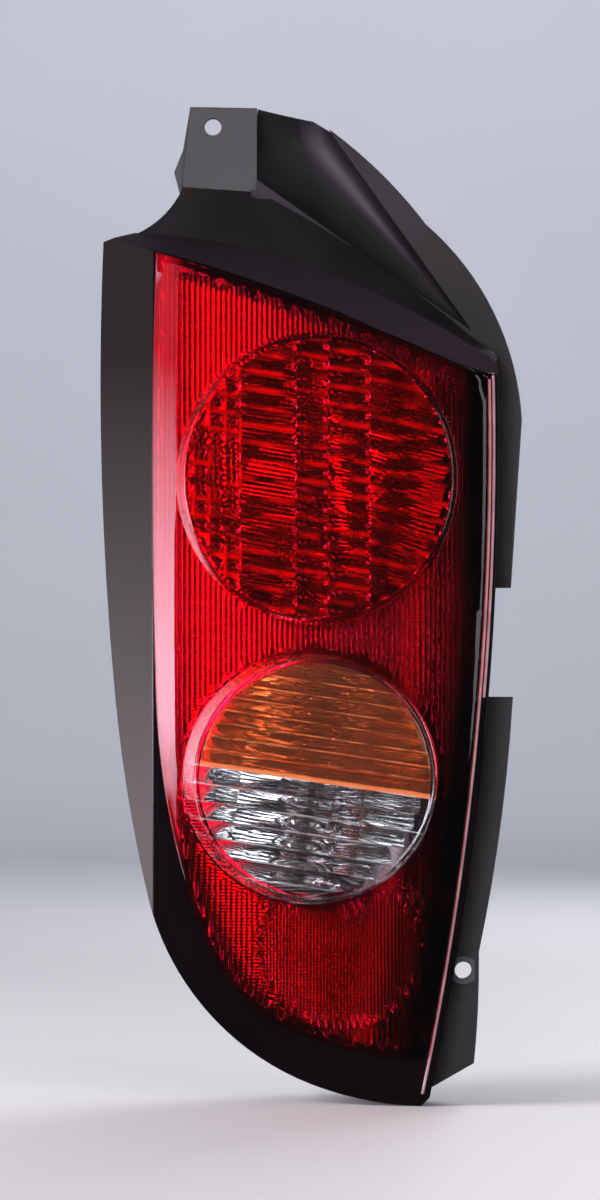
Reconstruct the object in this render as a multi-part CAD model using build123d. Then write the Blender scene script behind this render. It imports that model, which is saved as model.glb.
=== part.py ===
from build123d import *
from math import cos, radians, sin, sqrt, tan
import os

# A left-hand rear lamp cluster, millimetres. The origin is the centre of the upper screw hole on the front
# face of its tab. -Y is the way the lamp faces, +X runs from the car's flank to its tailgate, +Z is up.
# Depths are counted back from the foremost line of the red window, which lies TAB_DEPTH in front of the tab.
# Points are (x, z) in the front view and (x, depth) in plan.

# Lens form
TAB_DEPTH = 75.0
APEX_X = 101.0
APEX_Z = -181.0
WINDOW_R_PLAN = 250.0
WINDOW_R_SIDE = 1500.0
WINDOW_REACH_FLANK = 155.0
WINDOW_REACH_TAILGATE = 40.0
BARREL_SWING = 22.0
LENS_WALL = 2.5
WINDOW_EDGE_R = 1.2
WRAP_RIGHT = (125.0, 5.5)
WRAP_MID = (48.6, 11.3)
WRAP_CREASE = (-24.0, 36.0)
WRAP_EDGE = (-47.5, 64.0)
BAND_LEAN = 1.25
BAND_RUN = 8.0
BAND_STATIONS = (-60.0, -30.0, 0.0, 30.0, 60.0, 90.0, 130.0)

# Rim plane: the lens meets the housing in a plane that turns back round the car's corner
RIM_X = 116.0
RIM_DEPTH = 20.0
RIM_YAW = 18.2

# Outline of the lens, seen from the front
LENS_TOP_LEFT = (-45.2, -48.3)
LENS_TOP_BEND = (-32.2, -44.4)
LENS_TOP_MID = (36.1, -58.4)
LENS_TOP_RIGHT = (115.7, -100.9)
LENS_RIGHT_MID = (110.7, -248.1)
LENS_RIGHT_END = (88.5, -397.6)
LENS_TIP = (85.2, -400.9)
LENS_BOTTOM = (40.2, -392.6)
LENS_CORNER = (-25.9, -318.2)
LENS_LEFT_LOW = (-39.7, -237.7)
LENS_LEFT_MID = (-46.2, -121.7)

# Outline of the raised red window
WINDOW_TOP_LEFT = (-22.6, -54.4)
WINDOW_TOP_MID = (44.1, -78.1)
WINDOW_TOP_RIGHT = (111.4, -107.0)
WINDOW_RIGHT_MID = (106.2, -247.5)
WINDOW_RIGHT_END = (87.3, -381.6)
WINDOW_BOTTOM = (36.1, -372.5)
WINDOW_CORNER = (-2.5, -334.4)
WINDOW_LEFT_LOW = (-22.5, -237.0)
WINDOW_LEFT_MID = (-24.1, -147.5)

# Stop lamp dome, part of the red lens
STOP_X = 41.5
STOP_Z = -147.5
DOME_X = 45.0
DOME_HALF_WIDTH = 54.2
DOME_HALF_HEIGHT = 57.3
DOME_FRONT_R = 450.0
DOME_FRONT_DEPTH = -3.6
DOME_EDGE_R = 2.0
DRAFT = 10.0
CONE_FRONT = -20.0
CONE_BACK = 60.0

# Indicator and reversing lamp cap, and the amber cup inside it
CAP_X = 42.1
CAP_Z = -267.8
CAP_R = 48.4
CAP_DEPTH = -0.3
CAP_WALL = 2.5
CAP_EDGE_R = 1.4
CAP_TAIL = 1.5
FIT = 0.15
SPLIT_ANGLE = 8.4
SPLIT_DROP = 1.4
AMBER_WALL = 1.8
AMBER_LENGTH = 16.0
AMBER_TAIL = 8.0
AMBER_GAP = 0.2
AMBER_FLUTES = 8
AMBER_PITCH = 5.4
AMBER_FLUTE_R = 3.4
AMBER_FLUTE_RISE = 1.0
CLEAR_FLUTES = 6
CLEAR_PITCH = 7.0
CLEAR_FLUTE_R = 6.6
CLEAR_FLUTE_RISE = 1.0

# Reflex patch at the foot of the window
REFLEX_X = 53.0
REFLEX_Z = -336.5
REFLEX_R = 33.5
REFLEX_RISE = 0.8

# Metallised panel and bowls behind the lens
PANEL_GAP = 10.0
PANEL_T = 1.8
PANEL_MARGIN = 1.5
PANEL_SHORT = 9.0
STOP_BOWL_R = 52.5
SIGNAL_BOWL_R = 44.0
BOWL_WALL = 2.0
BOWL_TIP_WALL = 2.4
VERTEX_GAP = 8.0
STOP_FOCUS = 18.0
SIGNAL_FOCUS = 15.0
BULB_HOLE_R = 13.5
BULB_SPREAD = 22.5
STOP_COLUMNS = (-58.0, -48.0, -40.0, -32.0, -21.0, -10.0, 1.0, 12.0, 30.0, 58.0)
STOP_ROW = 7.8
STOP_ROWS = 14
SIGNAL_COLUMNS = (-48.0, -30.0, -10.0, 10.0, 22.0, 48.0)
SIGNAL_ROW = 6.6
SIGNAL_ROWS = 22
SHELF_T = 2.0

# Housing
HOUSING_WALL = 2.5
RIM_REVEAL = 0.6
RIM_WIDTH = 6.0
RIM_HEIGHT = 7.0
GROOVE_INSET = 2.1
GROOVE_WIDTH = 3.0
GROOVE_DEPTH = 4.5
LEG_DEPTH = 3.5
BACK_DEPTH = 92.0
BOWL_INSET = 13.0
BOWL_CORNER_R = 8.0
BOWL_EDGE_R = 5.0
SHOULDER_TAB_RIGHT = (18.3, -26.6)
SHOULDER_MID = (67.8, -57.6)
SHOULDER_END = (116.5, -97.6)
SHOULDER_FLANK = (-19.9, -35.7)
SHOULDER_LEAN = 1.3
SHOULDER_RUN = 4.0
SHOULDER_RISE = 0.5
SHOULDER_ENDS = (-60.0, 130.0)
SHOULDER_STATIONS = (25.0, 35.0, 45.0, 55.0, 65.0, 75.0, 85.0, 95.0, 105.0)
SLOPE_OVERRUN = 0.6

# Screw tab with its rib
TAB_LEFT_TOP = (-9.5, 8.3)
TAB_RIGHT_TOP = (18.3, 7.8)
TAB_LEFT_FOOT = (-12.9, -24.5)
TAB_T = 3.5
TAB_SINK = 2.0
TAB_RIB_WAIST = (-12.5, -9.5)
TAB_RIB_BUMP = (-16.2, -18.7)
TAB_RIB_FOOT = (-13.7, -28.2)
TAB_RIB_T = 3.0
TAB_RIB_SINK = 2.0
TAB_RIB_H = 8.0
SCREW_HOLE_R = 3.5

# Flange along the tailgate side, its scoop and the lower screw pad
FLANGE_SETBACK = 20.0
FLANGE_T = 2.5
FLANGE_TOP_Z = 9.5
FLANGE_RIDGE = (41.5, 2.7)
FLANGE_TOP_MID = (57.0, -9.3)
FLANGE_KINK = (87.7, -42.3)
FLANGE_SIDE_MID = (107.6, -65.4)
FLANGE_SIDE_LOW = (126.5, -123.0)
FLANGE_NOTCH_TOP = (122.1, -191.4)
FLANGE_LOW_TOP = (122.9, -235.8)
FLANGE_LOW_MID = (117.7, -290.1)
FLANGE_LOW_WAIST = (109.2, -340.1)
FLANGE_LOW_BULGE = (108.8, -363.8)
FLANGE_LOW_CORNER = (107.2, -385.5)
FLANGE_LOW_END = (90.0, -396.0)
NOTCH_X = 102.7
FLANGE_ROOTS = ((80.5, -385.6), (92.7, -248.1), (97.7, -112.9), (15.8, -32.6))
SCOOP_TIP = (106.0, -86.0)
SCOOP_MOUTH = (2.0, 21.0)
SCOOP_HALF_ANGLE = 9.6
LOWER_HOLE_X = 102.8
LOWER_HOLE_Z = -347.6
PAD_R = 6.0
PAD_T = 5.5
PAD_RISE = 1.5

# Bulb holders
PORT_R = 14.5
PORT_GAP = 0.3
PLUG_R = 14.2
HOLDER_FLANGE_R = 18.5
HOLDER_FLANGE_T = 2.5
LUGS = 3
LUG_R = 17.0
LUG_ROOT_R = 11.9
LUG_ANGLE = 36.0
LUG_T = 2.5
SLEEVE_R = 10.5
SLEEVE_LENGTH = 18.5
GRIP_R = 15.0
GRIP_LENGTH = 15.0
GRIP_WIDTH = 11.0
WIRE_HOLE_R = 1.7
WIRE_HOLE_DEPTH = 8.0
WIRE_PITCH = 5.1
SEAL_T = 2.0
SEAL_INNER_R = 15.0
SEAL_OUTER_R = 18.2
CONTACT_H = 2.5
CONTACT_R = 2.2
CONTACT_PITCH = 6.6

# Bulbs
BASE_R = 7.5
BASE_LENGTH = 15.5
BASE_FIT = 0.2
BASE_CHAMFER = 2.0
BASE_LIP = 0.6
BASE_PIN_R = 1.0
BASE_PIN_REACH = 1.2
BASE_PIN_HEIGHT = 5.75
PIN_SLOT = 9.0
GLASS_R = 12.5
GLASS_LENGTH = 33.0
GLASS_WALL = 0.8
GLASS_SWELL = 50.0
NECK_R = 7.2
NECK_LENGTH = 5.0
FILAMENT_R = 0.5
FILAMENT_SPAN = 5.0
FILAMENT_DROP = 4.0
LEAD_R = 0.3

# Small pieces at the back
SCREW_SHANK_R = 1.7
SCREW_HEAD_R = 3.6
SCREW_HEAD_H = 2.4
SCREW_CROSS = 1.0
SCREW_BITE = 8.0
BOSS_R = 4.0
BOSS_SPOTS = ((90.0, -205.0), (-2.0, -212.0), (62.0, -345.0), (12.0, -80.0))
PIN_R = 3.6
PIN_LENGTH = 17.0
PIN_TAPER = 4.0
PIN_SPOTS = ((-18.0, -122.0), (-12.0, -240.0))
GASKET_T = 6.0
GASKET_INSET = 4.0
GASKET_WIDTH = 7.0
VENT_X = 84.0
VENT_Z = -150.0
SPIGOT_R = 3.0
SPIGOT_LENGTH = 7.0
VENT_CAP_WALL = 1.5
COLLAR_GAP = 1.2
RIB_T = 2.0
RIB_H = 4.5
RIB_SPAN = 84.0
RIB_HEIGHTS = (-196.0, -330.0)

# Working space round the lamp, and how far a cut runs past the face it opens
FAR = 400.0
FRONT_Y = -115.0
DEEP_Y = 133.0
OVERCUT = 1.0

BACK_Y = BACK_DEPTH - TAB_DEPTH
VERTEX_Y = BACK_Y - VERTEX_GAP
WALL_Y = BACK_Y + HOUSING_WALL
HOLDER_Y = WALL_Y + SEAL_T
GLASS_Y = HOLDER_Y - CONTACT_H - BASE_LENGTH


def depth(value):
    return value - TAB_DEPTH


def at(point, y=0.0):
    return Vector(point[0], y, point[1])


def plan(point):
    return Vector(point[0], depth(point[1]), APEX_Z)


# Closed face from edges drawn in the front view or in plan
def face_of(*edges):
    return Face(Wire(list(edges)))


def polygon(*points):
    return Face(Wire.make_polygon(points, close=True))


def inset(face, amount):
    if amount == 0:
        return face
    return Face(face.outer_wire().offset_2d(-amount, kind=Kind.INTERSECTION))


# Solid swept from a front-view face between two Y stations
def prism(face, y_from, y_to):
    return extrude(Pos(0, y_from, 0) * face, amount=y_to - y_from, dir=(0, 1, 0))


# The same, right through the lamp
def column(face):
    return prism(face, FRONT_Y, DEEP_Y)


def disc(x, z, r):
    return Face(Wire.make_circle(r, Plane((x, 0, z), x_dir=(1, 0, 0), z_dir=(0, -1, 0))))


def rod(x, z, r, y_from=FRONT_Y, y_to=DEEP_Y):
    return prism(disc(x, z, r), y_from, y_to)


# Round solid along Y from a list of (radius, y) points
def turned(x, z, points):
    profile = polygon(*[(x + r, y, z) for r, y in points])
    return revolve(profile, axis=Axis((x, 0, z), (0, 1, 0)))


def arc_height(start, middle, end, x):
    curve = ThreePointArc(at(start), at(middle), at(end))
    centre = curve.arc_center
    return centre.Z + sqrt(curve.radius**2 - (x - centre.X) ** 2)


def between(value, low, high):
    return min(max(value, low), high)


def rim_depth(x):
    return RIM_DEPTH + (RIM_X - x) * tan(radians(RIM_YAW))


# Everything behind the rim plane, moved back by a setback
def behind_rim(setback):
    block = Pos(0, FAR / 2, 0) * Box(3 * FAR, FAR, 3 * FAR)
    return Pos(RIM_X, depth(RIM_DEPTH + setback), APEX_Z) * Rot(0, 0, -RIM_YAW) * block


def rim_slab(setback, thickness):
    return behind_rim(setback) - behind_rim(setback + thickness)


# Wedge that cuts a sloping band: each station gives x, then depth and height at the slope's foot and head
def slope_cutter(stations, ruled):
    sections = []
    for x, foot_depth, foot_z, head_depth, head_z in stations:
        over_depth = head_depth + SLOPE_OVERRUN * (head_depth - foot_depth)
        over_z = head_z + SLOPE_OVERRUN * (head_z - foot_z)
        sections.append(polygon(
            (x, depth(foot_depth), foot_z),
            (x, depth(over_depth), over_z),
            (x, depth(over_depth), foot_z + FAR / 4),
            (x, FRONT_Y, foot_z + FAR / 4),
            (x, FRONT_Y, foot_z),
        ))
    return loft(sections, ruled=ruled)


# Outline of the lens from its top left corner round the flank, the foot and up the tailgate side
def lens_sides():
    left = ThreePointArc(at(LENS_TOP_LEFT), at(LENS_LEFT_MID), at(LENS_LEFT_LOW))
    side = TangentArc(at(LENS_LEFT_LOW), at(LENS_CORNER), tangent=left % 1)
    corner = TangentArc(at(LENS_CORNER), at(LENS_BOTTOM), tangent=side % 1)
    foot = TangentArc(at(LENS_BOTTOM), at(LENS_TIP), tangent=corner % 1)
    tip = Line(at(LENS_TIP), at(LENS_RIGHT_END))
    right = ThreePointArc(at(LENS_RIGHT_END), at(LENS_RIGHT_MID), at(LENS_TOP_RIGHT))
    return [left, side, corner, foot, tip, right]


def lens_outline():
    top = ThreePointArc(at(LENS_TOP_RIGHT), at(LENS_TOP_MID), at(LENS_TOP_BEND))
    return face_of(*lens_sides(), top, Line(at(LENS_TOP_BEND), at(LENS_TOP_LEFT)))


def window_outline():
    left = ThreePointArc(at(WINDOW_TOP_LEFT), at(WINDOW_LEFT_MID), at(WINDOW_LEFT_LOW))
    side = TangentArc(at(WINDOW_LEFT_LOW), at(WINDOW_CORNER), tangent=left % 1)
    corner = TangentArc(at(WINDOW_CORNER), at(WINDOW_BOTTOM), tangent=side % 1)
    foot = TangentArc(at(WINDOW_BOTTOM), at(WINDOW_RIGHT_END), tangent=corner % 1)
    right = ThreePointArc(at(WINDOW_RIGHT_END), at(WINDOW_RIGHT_MID), at(WINDOW_TOP_RIGHT))
    top = ThreePointArc(at(WINDOW_TOP_RIGHT), at(WINDOW_TOP_MID), at(WINDOW_TOP_LEFT))
    return face_of(left, side, corner, foot, right, top)


# Housing outline: the lens outline with the sloping shoulder that climbs to the screw tab
def skirt_outline():
    step = Line(at(LENS_TOP_RIGHT), at(SHOULDER_END))
    ridge = ThreePointArc(at(SHOULDER_END), at(SHOULDER_MID), at(SHOULDER_TAB_RIGHT))
    tab_foot = Line(at(SHOULDER_TAB_RIGHT), at(TAB_LEFT_FOOT))
    flank = ThreePointArc(at(TAB_LEFT_FOOT), at(SHOULDER_FLANK), at(LENS_TOP_BEND))
    return face_of(*lens_sides(), step, ridge, tab_foot, flank, Line(at(LENS_TOP_BEND), at(LENS_TOP_LEFT)))


# Flat flange along the tailgate side, with the gap between its upper and lower lengths
def flange_outline():
    start = at((TAB_RIGHT_TOP[0], FLANGE_TOP_Z))
    top = Line(start, at(FLANGE_RIDGE))
    crest = ThreePointArc(at(FLANGE_RIDGE), at(FLANGE_TOP_MID), at(FLANGE_KINK))
    bow = ThreePointArc(at(FLANGE_KINK), at(FLANGE_SIDE_MID), at(FLANGE_SIDE_LOW))
    side = Line(at(FLANGE_SIDE_LOW), at(FLANGE_NOTCH_TOP))
    notch_in = at((NOTCH_X, FLANGE_NOTCH_TOP[1]))
    notch_out = at((NOTCH_X, FLANGE_LOW_TOP[1]))
    notch = Polyline(at(FLANGE_NOTCH_TOP), notch_in, notch_out, at(FLANGE_LOW_TOP))
    low = ThreePointArc(at(FLANGE_LOW_TOP), at(FLANGE_LOW_MID), at(FLANGE_LOW_WAIST))
    bulge = ThreePointArc(at(FLANGE_LOW_WAIST), at(FLANGE_LOW_BULGE), at(FLANGE_LOW_CORNER))
    end = Line(at(FLANGE_LOW_CORNER), at(FLANGE_LOW_END))
    beside_tab = at((FLANGE_ROOTS[-1][0], TAB_RIGHT_TOP[1]))
    inside = Polyline(at(FLANGE_LOW_END), *[at(point) for point in FLANGE_ROOTS], beside_tab, start)
    return face_of(top, crest, bow, side, *notch.edges(), low, bulge, end, *inside.edges())


# Barrel-shaped solid: a plan profile swung about a far axis that runs along X
def barrel(edges, shift):
    profile = inset(face_of(*edges), shift)
    axis = Axis((0, depth(WINDOW_R_SIDE), APEX_Z), (1, 0, 0))
    return revolve(profile, axis=axis, revolution_arc=BARREL_SWING).rotate(axis, -BARREL_SWING / 2)


def window_form(shift):
    def front_point(reach):
        return plan((APEX_X + reach, WINDOW_R_PLAN - sqrt(WINDOW_R_PLAN**2 - reach**2)))

    left = front_point(-WINDOW_REACH_FLANK)
    right = front_point(WINDOW_REACH_TAILGATE)
    back_right = Vector(right.X, FAR / 2, APEX_Z)
    back_left = Vector(left.X, FAR / 2, APEX_Z)
    front = ThreePointArc(left, front_point(0), right)
    back = Polyline(right, back_right, back_left, left)
    return barrel([front, *back.edges()], shift)


def border_form(shift):
    front = ThreePointArc(plan(WRAP_RIGHT), plan(WRAP_MID), plan(WRAP_CREASE))
    wrap = Line(plan(WRAP_CREASE), plan(WRAP_EDGE))
    back_left = Vector(WRAP_EDGE[0], FAR / 2, APEX_Z)
    back_right = Vector(WRAP_RIGHT[0], FAR / 2, APEX_Z)
    back = Polyline(plan(WRAP_EDGE), back_left, back_right, plan(WRAP_RIGHT))
    return barrel([front, wrap, *back.edges()], shift)


# Sloping band along the top of the lens, from the window's edge back to the rim
def band_cutter(drop):
    stations = []
    for x in BAND_STATIONS:
        foot_x = between(x, WINDOW_TOP_LEFT[0], WINDOW_TOP_RIGHT[0])
        head_x = between(x, LENS_TOP_BEND[0], LENS_TOP_RIGHT[0])
        foot_z = arc_height(WINDOW_TOP_LEFT, WINDOW_TOP_MID, WINDOW_TOP_RIGHT, foot_x) - drop
        head_z = arc_height(LENS_TOP_BEND, LENS_TOP_MID, LENS_TOP_RIGHT, head_x) - drop
        run = max(0.0, WRAP_MID[0] - x) / (WRAP_MID[0] - WRAP_CREASE[0])
        foot_depth = WRAP_MID[1] + run * (WRAP_CREASE[1] - WRAP_MID[1])
        stations.append((x, min(foot_depth, rim_depth(x) - BAND_RUN), foot_z, rim_depth(x), head_z))
    return slope_cutter(stations, False)


def border_body(shift):
    return (column(inset(LENS, shift)) & border_form(shift)) - band_cutter(BAND_LEAN * shift)


def window_body(shift):
    return column(inset(WINDOW, shift)) & window_form(shift)


# Rounds the edges of the foremost face
def round_front(body, r):
    return fillet(body.faces().sort_by(Axis.Y)[0].edges(), r)


# Closed ring that follows the lens outline at an inset
def lens_ring(start, width):
    return column(inset(LENS, start)) - column(inset(LENS, start + width))


# Smoked frame of the lens with its wrapped side, top band and the leg that stands in the housing's groove
def lens_border():
    shell = border_body(0) - border_body(LENS_WALL) - behind_rim(0) - column(WINDOW)
    leg = lens_ring(GROOVE_INSET + FIT, GROOVE_WIDTH - 2 * FIT)
    return shell + (leg & rim_slab(-LENS_WALL, LENS_WALL + LEG_DEPTH))


# Oval cone that narrows towards the front
def dome_cone(shift):
    sections = []
    for d in (CONE_FRONT, CONE_BACK):
        grow = d * tan(radians(DRAFT)) - shift
        oval = Ellipse(DOME_HALF_WIDTH + grow, DOME_HALF_HEIGHT + grow)
        sections.append(Plane((DOME_X, depth(d), STOP_Z), x_dir=(1, 0, 0), z_dir=(0, -1, 0)) * oval)
    return loft(sections)


def dome_body(shift):
    centre = Pos(APEX_X, depth(DOME_FRONT_DEPTH + DOME_FRONT_R), STOP_Z)
    return dome_cone(shift) & (centre * Sphere(DOME_FRONT_R - shift))


# Cone of the clear cap, from a front depth to a back depth
def cap_cone(shift, d_from, d_to):
    slope = tan(radians(DRAFT))
    r_from = CAP_R - shift + (d_from - CAP_DEPTH) * slope
    r_to = CAP_R - shift + (d_to - CAP_DEPTH) * slope
    y_from = depth(d_from)
    y_to = depth(d_to)
    return turned(CAP_X, CAP_Z, [(0, y_from), (r_from, y_from), (r_to, y_to), (0, y_to)])


# Red lens: the window with the stop dome standing out of it, the hole for the clear cap and the reflex patch
def red_lens():
    shell = round_front(window_body(0), WINDOW_EDGE_R) - window_body(LENS_WALL) - border_form(LENS_WALL)
    dome = round_front(dome_body(0), DOME_EDGE_R) - window_form(LENS_WALL)
    patch = rod(REFLEX_X, REFLEX_Z, REFLEX_R) & window_body(LENS_WALL)
    shell = shell + dome - dome_body(LENS_WALL)
    shell += patch - window_form(LENS_WALL + REFLEX_RISE)
    return shell - cap_cone(-FIT, CONE_FRONT, CONE_BACK)


# Everything above the plane that parts the indicator from the reversing lamp
def above_split(drop):
    block = Pos(0, 0, FAR / 2) * Box(2 * FAR, 2 * FAR, FAR)
    return Pos(CAP_X, 0, CAP_Z - SPLIT_DROP - drop) * Rot(0, SPLIT_ANGLE, 0) * block


# Round bars parallel to the split that stand out of an inner face by their rise
def split_flutes(count, first, pitch, r, inner_depth, rise):
    bar = Cylinder(r, 3 * CAP_R, rotation=(0, 90, 0))
    spot = Pos(CAP_X, depth(inner_depth + rise - r), CAP_Z - SPLIT_DROP) * Rot(0, SPLIT_ANGLE, 0)
    return Part() + [spot * Pos(0, 0, first + i * pitch) * bar for i in range(count)]


# Clear cap, fluted inside below the split
def clear_lens():
    cup = cap_cone(0, CAP_DEPTH, CONE_BACK) - window_form(LENS_WALL + CAP_TAIL)
    rim = cup.edges().filter_by(GeomType.CIRCLE).sort_by(Axis.Y)[0]
    inner = CAP_DEPTH + CAP_WALL
    cup = fillet(rim, CAP_EDGE_R) - cap_cone(CAP_WALL, inner, CONE_BACK)
    web = cap_cone(CAP_WALL / 2, CAP_DEPTH + CAP_WALL / 2, inner + 2 * CLEAR_FLUTE_RISE) - above_split(FIT)
    first = -CLEAR_PITCH / 2
    ribs = split_flutes(CLEAR_FLUTES, first, -CLEAR_PITCH, CLEAR_FLUTE_R, inner, CLEAR_FLUTE_RISE) & web
    return cup + ribs


# Amber half-moon cup nested in the clear cap, fluted on its inner face
def amber_filter():
    outside = CAP_WALL + AMBER_GAP
    front = CAP_DEPTH + outside
    back = front + AMBER_LENGTH
    cup = cap_cone(outside, front, back) & above_split(0)
    hollow = cap_cone(outside + AMBER_WALL, front + AMBER_WALL, back + OVERCUT) & above_split(-AMBER_WALL)
    web = cap_cone(outside, front, front + AMBER_WALL + 2 * AMBER_FLUTE_RISE) & above_split(0)
    first = AMBER_WALL + AMBER_PITCH / 2
    inner = front + AMBER_WALL
    ribs = split_flutes(AMBER_FLUTES, first, AMBER_PITCH, AMBER_FLUTE_R, inner, AMBER_FLUTE_RISE) & web
    return cup - hollow + ribs - window_form(LENS_WALL + AMBER_TAIL)


# Place on the indicator and reversing lamp's own upright, which leans with the split line
def signal_spot(rise):
    lean = radians(SPLIT_ANGLE)
    return CAP_X + rise * sin(lean), CAP_Z - SPLIT_DROP + rise * cos(lean)


# Solid in front of a bowl of flat facets: the grid's corners lie on a paraboloid, so every facet is plane
def facet_core(columns, rows, focus):
    def node(x, z):
        return Vector(x, VERTEX_Y - (x * x + z * z) / (4 * focus), z)

    faces = []
    for left, right in zip(columns, columns[1:]):
        for low, high in zip(rows, rows[1:]):
            faces.append(polygon(node(left, low), node(right, low), node(right, high), node(left, high)))
    for z in (rows[0], rows[-1]):
        ends = [Vector(columns[-1], -FAR, z), Vector(columns[0], -FAR, z)]
        faces.append(polygon(*[node(x, z) for x in columns], *ends))
    for x in (columns[0], columns[-1]):
        ends = [Vector(x, -FAR, rows[-1]), Vector(x, -FAR, rows[0])]
        faces.append(polygon(*[node(x, z) for z in rows], *ends))
    corners = [(columns[0], rows[0]), (columns[-1], rows[0]), (columns[-1], rows[-1]), (columns[0], rows[-1])]
    faces.append(polygon(*[at(corner, -FAR) for corner in corners]))
    return Solid(Shell(faces))


def even_rows(pitch, count):
    return [pitch * (i - count / 2) for i in range(count + 1)]


# Smooth outer side of a bowl, a solid paraboloid closed at the front
def bowl_blank(x, z, r, focus):
    tip = VERTEX_Y + BOWL_TIP_WALL
    rim = tip - r * r / (4 * focus)
    back = Bezier((x, tip, z), (x + r / 2, tip, z), (x + r, rim, z))
    side = Polyline((x + r, rim, z), (x + r, FRONT_Y, z), (x, FRONT_Y, z), (x, tip, z))
    return revolve(face_of(back, *side.edges()), axis=Axis((x, 0, z), (0, 1, 0)))


def panel_back():
    return window_form(LENS_WALL + PANEL_GAP + PANEL_T)


# Stop lamp reflector: a metallised bowl of flat facets in rows that lean like the split line below
def stop_reflector():
    core = facet_core(STOP_COLUMNS, even_rows(STOP_ROW, STOP_ROWS), STOP_FOCUS)
    core = Pos(STOP_X, 0, STOP_Z) * Rot(0, SPLIT_ANGLE, 0) * core
    bowl = bowl_blank(STOP_X, STOP_Z, STOP_BOWL_R + BOWL_WALL, STOP_FOCUS) & panel_back()
    bowl -= core & rod(STOP_X, STOP_Z, STOP_BOWL_R)
    return bowl - rod(STOP_X, STOP_Z, BULB_HOLE_R)


# Twin reflector of the lower lamp: two faceted half bowls parted by a shelf
def signal_reflector():
    rows = even_rows(SIGNAL_ROW, SIGNAL_ROWS)
    core = Rot(0, SPLIT_ANGLE, 0) * facet_core(SIGNAL_COLUMNS, rows, SIGNAL_FOCUS)
    x_up, z_up = signal_spot(BULB_SPREAD)
    x_low, z_low = signal_spot(-BULB_SPREAD)
    reach = SIGNAL_BOWL_R + BOWL_WALL + BULB_SPREAD
    bowl = bowl_blank(x_up, z_up, reach, SIGNAL_FOCUS) & above_split(0)
    bowl += bowl_blank(x_low, z_low, reach, SIGNAL_FOCUS) - above_split(0)
    bowl &= rod(CAP_X, CAP_Z, SIGNAL_BOWL_R + BOWL_WALL)
    bowl &= panel_back()
    well = rod(CAP_X, CAP_Z, SIGNAL_BOWL_R)
    bowl -= Pos(x_up, 0, z_up) * core & above_split(-SHELF_T / 2) & well
    bowl -= (Pos(x_low, 0, z_low) * core & well) - above_split(SHELF_T / 2)
    return bowl - rod(x_up, z_up, BULB_HOLE_R) - rod(x_low, z_low, BULB_HOLE_R)


# Metallised panel behind the red window, short of the tailgate side, with bosses down to the back wall
def bezel_panel():
    outline = inset(WINDOW, LENS_WALL + PANEL_MARGIN)
    plate = column(outline) & column(Pos(-PANEL_SHORT, 0, 0) * outline) & window_form(LENS_WALL + PANEL_GAP)
    plate = plate - panel_back() - rod(STOP_X, STOP_Z, STOP_BOWL_R) - rod(CAP_X, CAP_Z, SIGNAL_BOWL_R)
    under_face = window_form(LENS_WALL + PANEL_GAP + PANEL_T / 2)
    bosses = [rod(x, z, BOSS_R, FRONT_Y, BACK_Y) & under_face for x, z in BOSS_SPOTS]
    pilots = [rod(x, z, SCREW_SHANK_R + FIT, BACK_Y - SCREW_BITE - OVERCUT, BACK_Y) for x, z in BOSS_SPOTS]
    return plate + bosses - pilots


# Slope from the lens's top edge back to the shoulder's crest: the tab's foot, then the flange
def shoulder_cutter(drop):
    tab_lean = (SHOULDER_TAB_RIGHT[1] - TAB_LEFT_FOOT[1]) / (SHOULDER_TAB_RIGHT[0] - TAB_LEFT_FOOT[0])
    stations = []
    for x in sorted((*SHOULDER_ENDS, *SHOULDER_STATIONS, TAB_LEFT_FOOT[0], SHOULDER_TAB_RIGHT[0])):
        foot_x = between(x, LENS_TOP_BEND[0], LENS_TOP_RIGHT[0])
        foot_z = arc_height(LENS_TOP_BEND, LENS_TOP_MID, LENS_TOP_RIGHT, foot_x) - RIM_REVEAL - drop
        if x <= SHOULDER_TAB_RIGHT[0]:
            head_z = TAB_LEFT_FOOT[1] + tab_lean * (x - TAB_LEFT_FOOT[0]) - drop
            head_depth = max(TAB_DEPTH, rim_depth(x) + SHOULDER_RUN)
        else:
            crest_x = min(x, SHOULDER_END[0])
            head_z = arc_height(SHOULDER_TAB_RIGHT, SHOULDER_MID, SHOULDER_END, crest_x) - drop
            head_depth = rim_depth(x) + FLANGE_SETBACK
        stations.append((x, rim_depth(x), foot_z, head_depth, max(head_z, foot_z + SHOULDER_RISE)))
    return slope_cutter(stations, True)


def skirt_body(shift, front, back):
    block = column(inset(SKIRT, RIM_REVEAL + shift)) & rim_slab(front, back - front)
    return block - shoulder_cutter(SHOULDER_LEAN * shift)


# Deep bowl behind the flange, with rounded corners
def bowl_block(shift, y_to):
    core = inset(LENS, BOWL_INSET + BOWL_CORNER_R).outer_wire()
    return prism(Face(core.offset_2d(BOWL_CORNER_R - shift, kind=Kind.ARC)), FRONT_Y, y_to)


# Conical scoop sunk in the flange beside the tab, between the shoulder's crest and the flange's outer ridge
def scoop(grow):
    tip = at(SCOOP_TIP, depth(rim_depth(SCOOP_TIP[0]) + FLANGE_SETBACK))
    mouth = at(SCOOP_MOUTH, depth(rim_depth(SCOOP_MOUTH[0]) + FLANGE_SETBACK))
    reach = (tip - mouth).length
    wide = reach * tan(radians(SCOOP_HALF_ANGLE))
    cone = Solid.make_cone(wide + grow, grow, reach, Plane(mouth, z_dir=tip - mouth))
    beside_tab = Pos(SHOULDER_TAB_RIGHT[0] - grow + FAR / 2, 0, 0) * Box(FAR, 2 * FAR, 2 * FAR)
    return cone & beside_tab


def tab_face():
    return polygon(at(TAB_LEFT_TOP), at(TAB_RIGHT_TOP), at(SHOULDER_TAB_RIGHT), at(TAB_LEFT_FOOT))


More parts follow.
